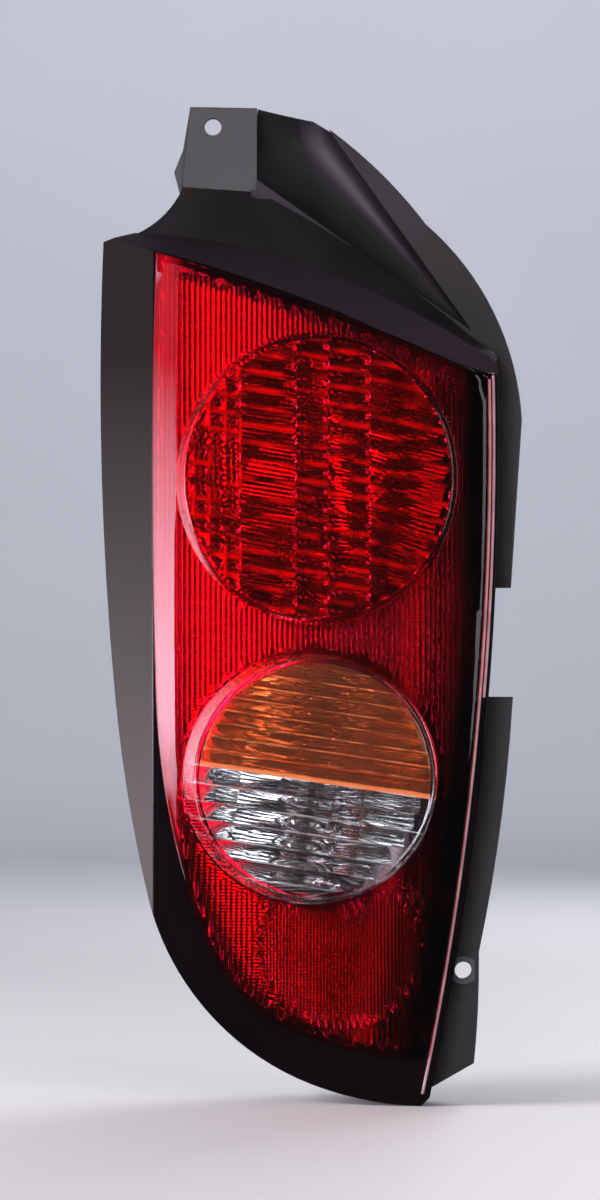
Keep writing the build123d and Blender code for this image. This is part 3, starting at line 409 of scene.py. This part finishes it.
# The sharp valleys between flutes scatter light and show as pale, broken lines on one side of the split
def flute_valleys(material, start, pitch, side):
    place = add_node(material, "TexCoord").outputs["Object"]
    up = add_node(material, "VectorMath", {
        0: place, 1: (math.sin(SPLIT_LEAN) / pitch / MM, 0, math.cos(SPLIT_LEAN) / pitch / MM),
    }, operation="DOT_PRODUCT")
    split_z = CAP_AXIS[1] - SPLIT_DROP
    foot = CAP_AXIS[0] * math.sin(SPLIT_LEAN) + split_z * math.cos(SPLIT_LEAN) + start
    count = add_node(material, "Math", {0: up.outputs["Value"], 1: foot / pitch}, operation="SUBTRACT")
    apart = add_node(material, "Math", {0: count.outputs["Value"], 1: 0.5}, operation="PINGPONG")
    line = add_node(material, "MapRange", {
        "Value": apart.outputs["Value"], "From Max": FLUTE_LINE, "To Min": 1.0, "To Max": 0.0,
    })
    fluted = add_node(material, "Math", {
        0: count.outputs["Value"], 1: -FLUTE_MARGIN * side,
    }, operation="GREATER_THAN" if side > 0 else "LESS_THAN")
    breaks = add_node(material, "TexNoise", {"Vector": place, "Scale": 1 / LINE_BREAK, "Detail": 1.0})
    patch = add_node(material, "MapRange", {
        "Value": breaks.outputs["Fac"], "From Min": LINE_PATCHES[0], "From Max": LINE_PATCHES[1],
    })
    shown = line.outputs["Result"]
    for mask in (fluted.outputs["Value"], patch.outputs["Result"]):
        shown = add_node(material, "Math", {0: shown, 1: mask}, operation="MULTIPLY").outputs["Value"]
    return shown, count.outputs["Value"]


# Takes a clear plastic from its own clarity to a frosted one, by the share given for each spot
def frost(material, share, clarity, frosted):
    clear_share = add_node(material, "MapRange", {"Value": share, "To Min": clarity, "To Max": frosted})
    shader = material.node_tree.nodes["Principled BSDF"]
    material.node_tree.links.new(clear_share.outputs["Result"], shader.inputs["Transmission Weight"])


# Amber PMMA: clear and warm, with pale lines where its flutes meet and a pale cut wall along the split
amber_pmma = clear_material("PMMA_amber_moulded", "#f39a5c", "#ee9052",
                            MOULD_RIPPLE, MOULD_RELIEF, 1.0, PMMA_IOR, "#d98a48")
valleys, count = flute_valleys(amber_pmma, AMBER_WALL, AMBER_FLUTE, 1)
wall = add_node(amber_pmma, "MapRange", {
    "Value": count, "From Min": CUT_WALL[0], "From Max": CUT_WALL[1], "To Min": 1.0, "To Max": 0.0,
})
glow = add_node(amber_pmma, "Math", {0: valleys, 1: wall.outputs["Result"]}, operation="MAXIMUM")
frost(amber_pmma, glow.outputs["Value"], AMBER_CLARITY, AMBER_FROST)
dress(amber_pmma, "amber_filter")

# Red lens: one moulding of red PMMA, polished outside and fluted inside, with the stop dome standing out of
# it. It is welded to the smoked frame along the window's edge.
APEX = (101.0, -181.0)
PLAN_R = 250.0
SIDE_R = 1500.0
FACE_SETBACK = 75.0
LENS_WALL = 2.5
PATCH_RISE = 0.8
FLUTE_PITCH = 2.05
FLUTE_RISE = 0.4
PATCH_PITCH = 1.35
PATCH_FLUTE_RISE = 0.5
FLUTE_STEPS = 6
FLUTE_ROW = 5.0
LENS_X = (-40, 130)
LENS_Z = (-400, -40)
CAP_RING_R = 52.5
ON_SURFACE = 0.012
LOOKS_BACK = 0.5
SMOOTH_BELOW = math.radians(25)
DOME_X = 45.0
DOME_CENTRE_Y = 371.4
DOME_INNER_R = 447.5
DOME_COLUMNS = (-60, -51.3, -44.9, -38.6, -32.5, -10, 3, 19.5, 60)
DOME_RISES = (0.9, 0.8, 0.8, 0.8, 1.5, 1.3, 1.5, 0.6)
DOME_STAGGER = (0.0, 0.0, 0.0, 0.0, 0.5, 0.2, 0.7, 0.0)
LINED_EDGES = 5
DOME_ROW = 7.2
DOME_ROWS = 11
DOME_ROW_STEPS = 10
DOME_ROW_RISE = 1.1
DOME_FAN = 0.1
DOME_STEP = 0.8
DOME_FEWEST_STEPS = 8
CELL_SHADE = 0.2
CELL_FADE = 0.5
CELL_SCATTER = 0.6
VALLEY_HALF = 0.9
VALLEY_PATCHES = (0.38, 0.62)
ROW_OFFSET = 0.08
ROW_SOFTNESS = 0.6
VALLEY_FROST = 0.85
BEND_GLOW = (-18 * MM, -10 * MM)
BEND_FROST = 0.16
LENS_SHADE_STRIP = (-17 * MM, -6 * MM)


# How far back the window's surface lies, in millimetres, at a shift inwards from its outer face
def window_y(x, z, shift):
    bow = PLAN_R - np.sqrt((PLAN_R - shift) ** 2 - (x - APEX[0]) ** 2)
    return SIDE_R - np.sqrt((SIDE_R - bow) ** 2 - (z - APEX[1]) ** 2) - FACE_SETBACK


# Upright flutes, left plain in a ring round the clear cap
def flutes(x, z, pitch, rise):
    across = 2 * ((x / pitch) % 1.0) - 1
    ring = np.clip(np.hypot(x - CAP_AXIS[0], z - CAP_AXIS[1]) - CAP_RING_R, 0, 1)
    return rise * (1 - across ** 2) * ring


# How far back the dome's inner face lies
def dome_y(x, z):
    return DOME_CENTRE_Y - np.sqrt(DOME_INNER_R ** 2 - (x - APEX[0]) ** 2 - (z - STOP_AXIS[1]) ** 2)


# Height across the dome's rows, which slope down to the tailgate side and more steeply beyond the cells
def dome_row(x, z):
    right = DOME_COLUMNS[-2] + DOME_X
    return z - STOP_AXIS[1] + math.tan(SPLIT_LEAN) * (x - DOME_X) + DOME_FAN * np.maximum(x - right, 0)


# Rows of round cells on the flank side of the dome and long flutes on the other
def dome_cells(x, z):
    column = np.clip(np.searchsorted(DOME_COLUMNS, x - DOME_X, side="right") - 1, 0, len(DOME_COLUMNS) - 2)
    left, right = np.array(DOME_COLUMNS)[column], np.array(DOME_COLUMNS)[column + 1]
    across = 2 * (x - DOME_X - left) / (right - left) - 1
    up = 2 * ((dome_row(x, z) / DOME_ROW + np.array(DOME_STAGGER)[column]) % 1.0) - 1
    return np.array(DOME_RISES)[column] * (1 - across ** 2) + DOME_ROW_RISE * (1 - up ** 2)


# How near a spot lies to the valleys between the dome's cells, and how much painted shade darkens its cell:
# the cells are painted darker at their tops, and no two alike, by a scatter that is the same in every run
def dome_marks(x, z):
    column = int(np.searchsorted(DOME_COLUMNS, x - DOME_X, side="right")) - 1
    across = min(abs(edge - (x - DOME_X)) for edge in DOME_COLUMNS[:LINED_EDGES])
    row = dome_row(x, z) / DOME_ROW + DOME_STAGGER[min(max(column, 0), len(DOME_STAGGER) - 1)]
    chance = math.sin(column * 12.99 + math.floor(row) * 78.23) * 43758.55 % 1.0
    height = row + ROW_OFFSET
    near = min(across, abs(height - round(height)) * DOME_ROW * ROW_SOFTNESS)
    shade = CELL_SHADE + CELL_FADE * (row % 1.0) + CELL_SCATTER * (chance - 0.4)
    return max(0.0, 1 - near / VALLEY_HALF), min(max(shade, 0.0), 1.0)


# Cuts a plain inner face out of the moulding and lays one with relief in its place, on the given points
def relay_face(shape, surface, relief, grid, marks=lambda x, z: (0.0, 0.0)):
    plain = []
    for face in shape.faces:
        points = np.array([v.co for v in face.verts]) / MM
        gap = np.abs(points[:, 1] - surface(points[:, 0], points[:, 2]))
        if gap.max() < ON_SURFACE and face.normal.y > LOOKS_BACK:
            plain.append(face)
    bmesh.ops.delete(shape, geom=plain, context="FACES")
    border = [e for e in shape.edges if len(e.link_faces) == 1]
    rim = list({v: None for e in border for v in e.verts})
    index = {v: i for i, v in enumerate(rim)}
    flat = np.array([(v.co.x, v.co.z) for v in rim]) / MM
    edges = [(index[e.verts[0]], index[e.verts[1]]) for e in border]

    def inside(points):
        held = np.zeros(len(points), bool)
        for a, b in edges:
            (x0, z0), (x1, z1) = flat[a], flat[b]
            crosses = (z0 > points[:, 1]) != (z1 > points[:, 1])
            at_x = x0 + (points[:, 1] - z0) * (x1 - x0) / (z1 - z0 if z1 != z0 else 1.0)
            held ^= crosses & (points[:, 0] < at_x)
        return held

    grid = grid[inside(grid)]
    found = delaunay_2d_cdt([Vector(p) for p in flat] + [Vector(p) for p in grid], edges, [], 0, 1e-5)
    spots = np.array([tuple(p) for p in found[0]])
    triangles = np.array(found[2])
    triangles = triangles[inside(spots[triangles].mean(axis=1))]
    depths = surface(spots[:, 0], spots[:, 1]) + relief(spots[:, 0], spots[:, 1])
    corners = []
    for spot, y, sources in zip(spots, depths, found[3]):
        old = [s for s in sources if s < len(rim)]
        corners.append(rim[old[0]] if old else shape.verts.new((spot[0] * MM, y * MM, spot[1] * MM)))
        if not old:
            corners[-1][valley_layer], corners[-1][shade_layer] = marks(*spot)
    for a, b, c in triangles:
        if shape.faces.get((corners[a], corners[b], corners[c])) is None:
            shape.faces.new((corners[a], corners[b], corners[c]))


# Points along upright lines, a few to each flute
def flute_grid(pitch):
    columns = np.arange(*LENS_X, pitch / FLUTE_STEPS)
    columns = pitch / FLUTE_STEPS * np.round(columns * FLUTE_STEPS / pitch)
    return np.array([(x, z) for x in columns for z in np.arange(*LENS_Z, FLUTE_ROW)])


# Points along the dome's columns and rows
def dome_grid():
    columns = []
    for left, right in zip(DOME_COLUMNS, DOME_COLUMNS[1:]):
        count = max(DOME_FEWEST_STEPS, round((right - left) / DOME_STEP))
        columns.extend(left + (right - left) * np.arange(count) / count)
    reach = DOME_ROWS * DOME_ROW_STEPS
    rows = DOME_ROW / DOME_ROW_STEPS * np.arange(-reach, reach + 1)
    return np.array([
        (DOME_X + u, STOP_AXIS[1] + v - dome_row(DOME_X + u, STOP_AXIS[1]))
        for u in columns for v in rows
    ])


# Red PMMA: clear and deep, with pale broken valleys, and painted shade that darkens some of the dome's
# cells. It glows a little where it bends round the flank, and painted shade darkens it nearly to black
# along the tailgate edge.
red_pmma = clear_material("PMMA_red_moulded", "#d80a2a", "#d20826",
                          MOULD_RIPPLE, MOULD_RELIEF, 1.0, PMMA_IOR, "#f01030")
place = add_node(red_pmma, "TexCoord").outputs["Object"]
valleys = add_node(red_pmma, "Attribute", attribute_name="valley")
breaks = add_node(red_pmma, "TexNoise", {"Vector": place, "Scale": 1 / LINE_BREAK, "Detail": 1.0})
patch = add_node(red_pmma, "MapRange", {
    "Value": breaks.outputs["Fac"], "From Min": VALLEY_PATCHES[0], "From Max": VALLEY_PATCHES[1],
    "To Max": VALLEY_FROST,
})
lines = add_node(red_pmma, "Math", {
    0: valleys.outputs["Fac"], 1: patch.outputs["Result"],
}, operation="MULTIPLY")
across = add_node(red_pmma, "SeparateXYZ", {"Vector": place})
bend = add_node(red_pmma, "MapRange", {
    "Value": across.outputs["X"], "From Min": BEND_GLOW[0], "From Max": BEND_GLOW[1],
    "To Min": BEND_FROST, "To Max": 0.0,
}, interpolation_type="SMOOTHSTEP")
glow = add_node(red_pmma, "Math", {
    0: lines.outputs["Value"], 1: bend.outputs["Result"],
}, operation="MAXIMUM")
frost(red_pmma, glow.outputs["Value"], 1.0, 0.0)
cell = add_node(red_pmma, "Attribute", attribute_name="cell_shade")
glass = red_pmma.node_tree.nodes["Principled BSDF"]
plain_red = glass.inputs["Base Color"].links[0].from_socket
# Painted shade: each of the dome's cells is darkened by its cell_shade
shade = add_node(red_pmma, "MixRGB", {
    "Fac": cell.outputs["Fac"], "Color1": plain_red, "Color2": linear("#a80a1e"),
})
# Painted shade: the red is darkened nearly to black along the tailgate edge
lens_shade_strip = add_node(red_pmma, "MapRange", {
    "Value": from_tailgate(red_pmma), "From Min": LENS_SHADE_STRIP[0], "From Max": LENS_SHADE_STRIP[1],
}, interpolation_type="SMOOTHSTEP")
shaded_red = add_node(red_pmma, "MixRGB", {
    "Fac": lens_shade_strip.outputs["Result"], "Color1": shade.outputs["Color"], "Color2": linear("#200206"),
})
red_pmma.node_tree.links.new(shaded_red.outputs["Color"], glass.inputs["Base Color"])
shape = bmesh.new()
shape.from_mesh(nodes["red_lens"].data)
bmesh.ops.remove_doubles(shape, verts=shape.verts, dist=1e-6)
valley_layer = shape.verts.layers.float.new("valley")
shade_layer = shape.verts.layers.float.new("cell_shade")
relay_face(shape, lambda x, z: window_y(x, z, LENS_WALL),
           lambda x, z: flutes(x, z, FLUTE_PITCH, FLUTE_RISE), flute_grid(FLUTE_PITCH))
relay_face(shape, lambda x, z: window_y(x, z, LENS_WALL + PATCH_RISE),
           lambda x, z: flutes(x, z, PATCH_PITCH, PATCH_FLUTE_RISE), flute_grid(PATCH_PITCH))
relay_face(shape, dome_y, dome_cells, dome_grid(), dome_marks)
bmesh.ops.recalc_face_normals(shape, faces=shape.faces)
for face in shape.faces:
    face.smooth = True
for edge in shape.edges:
    edge.smooth = len(edge.link_faces) == 2 and edge.calc_face_angle(0) < SMOOTH_BELOW
finish_piece(shape, "red_lens_fluted", red_pmma, "red_pmma", "red_lens")

# Clear cap: a round cup of clear PMMA over the indicator and reversing lamps, moulded with flutes in its
# lower half. It is let into the red lens and welded round its rim.
CLEAR_FLUTE = 7.0
CLEAR_FROST = 0.82

# Clear PMMA: as clear as water, with faint pale lines where its flutes meet
clear_pmma = clear_material("PMMA_clear_moulded", "#fbfbff", "#f7f8fc",
                            MOULD_RIPPLE, MOULD_RELIEF, 1.0, PMMA_IOR, "#f2f2f6")
frost(clear_pmma, flute_valleys(clear_pmma, 0.0, CLEAR_FLUTE, -1)[0], 1.0, CLEAR_FROST)
dress(clear_pmma, "clear_lens")

# Smoked frame: the lens's outer moulding of near-black PMMA, polished, which wraps round the car's flank.
# Its leg stands in the housing's groove, in the bead of sealant.
SMOKE_DRIFT = 40 * MM
FRAME_EDGE_R = 0.8 * MM
TOP_FACING = (0.25, 0.45)

# Smoked PMMA: a black gloss that mirrors the softboxes, duller on the ledge along its top, where painted
# light makes it greyer
smoked = new_material("PMMA_smoked_polished")
place = add_node(smoked, "TexCoord").outputs["Object"]
drift = add_node(smoked, "TexNoise", {"Vector": place, "Scale": 1 / SMOKE_DRIFT, "Detail": 3.0})
tone = add_node(smoked, "ValToRGB", {"Fac": drift.outputs["Fac"]}, ((0.35, "#080507"), (0.7, "#0e090c")))
outward = add_node(smoked, "TexCoord").outputs["Normal"]
facing = add_node(smoked, "SeparateXYZ", {"Vector": outward})
top = add_node(smoked, "MapRange", {
    "Value": facing.outputs["Z"], "From Min": TOP_FACING[0], "From Max": TOP_FACING[1],
})
sheen = add_node(smoked, "MapRange", {"Value": top.outputs["Result"], "To Min": 0.05, "To Max": 0.42})
# Painted light: the ledge along the top, which faces up, is painted a paler grey
painted_light_tint = add_node(smoked, "MixRGB", {
    "Fac": top.outputs["Result"], "Color1": tone.outputs["Color"], "Color2": linear("#332930"),
})
edge = add_node(smoked, "Bevel", {"Radius": FRAME_EDGE_R})
shader = add_node(smoked, "BsdfPrincipled", {
    "Base Color": painted_light_tint.outputs["Color"], "Roughness": sheen.outputs["Result"], "IOR": PMMA_IOR,
    "Normal": edge.outputs["Normal"],
})
add_node(smoked, "OutputMaterial", {"Surface": shader.outputs["BSDF"]})
dress(smoked, "lens_border")

# Edge beads: the frame and the lens are welded along the tailgate side, and the pressed-out PMMA stands
# there as two fine round beads.
BEAD_SPINE = ((112.0, -104.8), (107.0, -250.0), (85.6, -396.0))
BEAD_R = 0.6 * MM
BEADS = ((0.0, 1.0), (1.6 * MM, 0.45))
BEAD_STATIONS = 90
BEAD_SIDES = 8
RAY_START_Y = cad_box[0].y - 0.05

# Weld flash: half-glossy plastic, its pale colour a painted highlight along the lens's edge
edge_pmma = matt_material("PMMA_weld_flash_painted_highlight", "#8a7077", "#a88c94", 10 * MM, 0.25, 0.02 * MM)
shape = bmesh.new()
for offset, length in BEADS:
    rings = []
    for i in range(BEAD_STATIONS + 1):
        t = length * i / BEAD_STATIONS
        # A curve through the spine's three points
        weights = (2 * (t - 0.5) * (t - 1), -4 * t * (t - 1), 2 * t * (t - 0.5))
        x, z = (sum(w * p[k] for w, p in zip(weights, BEAD_SPINE)) * MM for k in (0, 1))
        hit, spot, _, _ = nodes["lens_border"].ray_cast((x + offset, RAY_START_Y, z), (0, 1, 0))
        if hit:
            angles = [math.pi * j / BEAD_SIDES for j in range(BEAD_SIDES + 1)]
            rings.append([
                shape.verts.new((spot.x - BEAD_R * math.cos(a), spot.y - BEAD_R * math.sin(a), spot.z))
                for a in angles
            ])
    for above, below in zip(rings, rings[1:]):
        for j in range(BEAD_SIDES):
            shape.faces.new((above[j], below[j], below[j + 1], above[j + 1])).smooth = True
    shape.faces.new(rings[0])
    shape.faces.new(rings[-1])
bmesh.ops.recalc_face_normals(shape, faces=shape.faces)
finish_piece(shape, "tailgate_edge_beads", edge_pmma, "smoke_pmma")

# Studio: a pale paper floor that sweeps up into a backdrop. Graded softboxes and cards on the flank side
# light the lens, weaker ones in front fill the lamps, and others light the housing, the back and the far
# paper. The camera looks straight at the lamp from two metres.
FLOOR_Z = cad_box[0].z - 0.0002
CAMERA_X = 0.0361
CAMERA_Z = -0.1963
CAMERA_Y = -2.075
SWEEP_START = 1.9
SWEEP_R = 1.0
SWEEP_STEPS = 12
PAPER_HALF = 3.4
PAPER_TOP = 2.6
PAPER_FADE = (0.1, 2.6)
MOTTLES_PER_METRE = 3.0
WASH_TILT = math.radians(62)

shape = bmesh.new()
profile = [(-PAPER_HALF, FLOOR_Z), (SWEEP_START, FLOOR_Z)]
for step in range(1, SWEEP_STEPS + 1):
    angle = math.radians(90 * step / SWEEP_STEPS)
    profile.append((SWEEP_START + SWEEP_R * math.sin(angle), FLOOR_Z + SWEEP_R * (1 - math.cos(angle))))
profile.append((SWEEP_START + SWEEP_R, PAPER_TOP))
lines = [[shape.verts.new((x, y, z)) for x in (-PAPER_HALF, PAPER_HALF)] for y, z in profile]
for low, high in zip(lines, lines[1:]):
    shape.faces.new((low[0], low[1], high[1], high[0])).smooth = True
sweep = bpy.data.meshes.new("floor")
shape.to_mesh(sweep)
shape.free()
floor = bpy.data.objects.new("floor", sweep)
bpy.context.scene.collection.objects.link(floor)
floor.visible_glossy = False
floor.visible_transmission = False

# Backdrop paper: matt and cooler towards the wall, pale on the floor and painted darker up the wall as
# shade. Its back is see-through, so that the wall hides nothing from behind.
paper = new_material("Backdrop_paper_pale")
place = add_node(paper, "TexCoord").outputs["Object"]
mottle = add_node(paper, "TexNoise", {"Vector": place, "Scale": MOTTLES_PER_METRE})
tone = add_node(paper, "ValToRGB", {"Fac": mottle.outputs["Fac"]}, ((0.3, "#a7abb3"), (0.7, "#abafb7")))
depth = add_node(paper, "SeparateXYZ", {"Vector": place})
# Painted shade: the paper darkens from the floor towards the wall
rise = add_node(paper, "MapRange", {
    "Value": depth.outputs["Y"], "From Min": PAPER_FADE[0], "From Max": PAPER_FADE[1],
})
fade = add_node(paper, "MixRGB", {
    "Fac": rise.outputs["Result"], "Color1": linear("#c6c4c8"), "Color2": tone.outputs["Color"],
})
shader = add_node(paper, "BsdfPrincipled", {"Base Color": fade.outputs["Color"], "Roughness": 0.6})
behind = add_node(paper, "NewGeometry").outputs["Backfacing"]
unseen = add_node(paper, "BsdfTransparent")
one_sided = add_node(paper, "MixShader", {
    "Fac": behind, 1: shader.outputs["BSDF"], 2: unseen.outputs["BSDF"],
})
add_node(paper, "OutputMaterial", {"Surface": one_sided.outputs["Shader"]})
sweep.materials.append(paper)


# A softbox stands round the lamp and faces it. Polished faces show none that is not mirrored, and lenses
# pass none that is not inside. A fade grades it from foot to top, and its reach keeps it on or off pieces.
def softbox(name, azimuth, elevation, distance, width, height, power, colour,
            mirrored=True, inside=True, fade=(), reach=()):
    lamp = bpy.data.lights.new(name, "AREA")
    lamp.shape = "RECTANGLE"
    lamp.size = width
    lamp.size_y = height
    lamp.energy = power
    lamp.color = linear(colour)[:3]
    stand = bpy.data.objects.new(name, lamp)
    turn, lift = math.radians(azimuth), math.radians(elevation)
    stand.location = (
        CAMERA_X + distance * math.cos(lift) * math.sin(turn),
        -distance * math.cos(lift) * math.cos(turn),
        CAMERA_Z + distance * math.sin(lift),
    )
    stand.rotation_euler = (math.radians(90) - lift, 0, turn)
    stand.visible_camera = False
    stand.visible_glossy = mirrored
    stand.visible_transmission = inside
    if reach:
        flags = stand.light_linking.receiver_collection = bpy.data.collections.new(name + "_flags")
        for node in reach[1:]:
            flags.objects.link(nodes[node])
        for flagged in flags.collection_objects:
            flagged.light_linking.link_state = reach[0]
    if fade:
        lamp.use_nodes = True
        spot = add_node(lamp, "NewGeometry").outputs["Parametric"]
        up = add_node(lamp, "SeparateXYZ", {"Vector": spot})
        share = add_node(lamp, "ValToRGB", {"Fac": up.outputs["Y"]}, fade)
        strength = lamp.node_tree.nodes["Emission"].inputs["Strength"]
        lamp.node_tree.links.new(share.outputs["Color"], strength)
    bpy.context.scene.collection.objects.link(stand)
    return stand


softbox("softbox_flank", -69, 2.2, 1.1, 0.5, 0.72, 16, "#f8e8ff",
        fade=((0.06, "#000000"), (0.24, "#ffffff"), (0.335, "#ffffff"), (0.765, "#303030")))
softbox("card_flank_inner", -69, 14, 1.3, 0.6, 1.0, 32, "#ffffff", mirrored=False,
        reach=("EXCLUDE", "rear_housing", "lens_border"))
softbox("card_flank", -104, 10, 1.2, 1.3, 1.4, 16, "#ffeef2",
        fade=((0.2, "#ffffff"), (0.5, "#656565")))
softbox("fill_camera", 0, -2, 1.9, 0.8, 0.4, 8, "#fff4f8", mirrored=False, inside=False)
softbox("softbox_housing", -6, 2, 1.9, 0.4, 0.8, 18, "#f8f4fc", inside=False,
        reach=("INCLUDE", "rear_housing"))
softbox("card_front", 17, -2, 1.3, 0.28, 0.5, 3.5, "#ffffff", mirrored=False)
softbox("softbox_front", 25, 5, 1.5, 0.5, 0.8, 3, "#fff6f8", inside=False)
softbox("card_tailgate", 42, 4, 1.5, 0.3, 0.9, 10, "#fffaf8", mirrored=False)
softbox("softbox_backdrop", 180, 60, 1.1, 1.6, 0.8, 4, "#eef2ff", mirrored=False)
softbox("softbox_rear", 155, 25, 1.4, 0.7, 0.7, 12, "#ffffff")
wash = softbox("backdrop_wash", 180, 40, 1.9, 2.4, 0.5, 30, "#fbfcff")
wash.rotation_euler = (WASH_TILT, 0, 0)

air = bpy.data.worlds.new("studio_air")
air.use_nodes = True
air.node_tree.nodes["Background"].inputs["Color"].default_value = linear("#aeb4c0")
air.node_tree.nodes["Background"].inputs["Strength"].default_value = 0.12
scene = bpy.context.scene
scene.world = air
scene.view_settings.view_transform = "Standard"
scene.cycles.glossy_bounces = 8
scene.cycles.transmission_bounces = 16
scene.cycles.max_bounces = 16

lens = bpy.data.cameras.new("camera")
lens.sensor_fit = "VERTICAL"
lens.sensor_height = 36.0
lens.lens = 150.0
camera = bpy.data.objects.new("camera", lens)
camera.location = (CAMERA_X, CAMERA_Y, CAMERA_Z)
camera.rotation_euler = (math.radians(90), 0, 0)
scene.collection.objects.link(camera)
scene.camera = camera
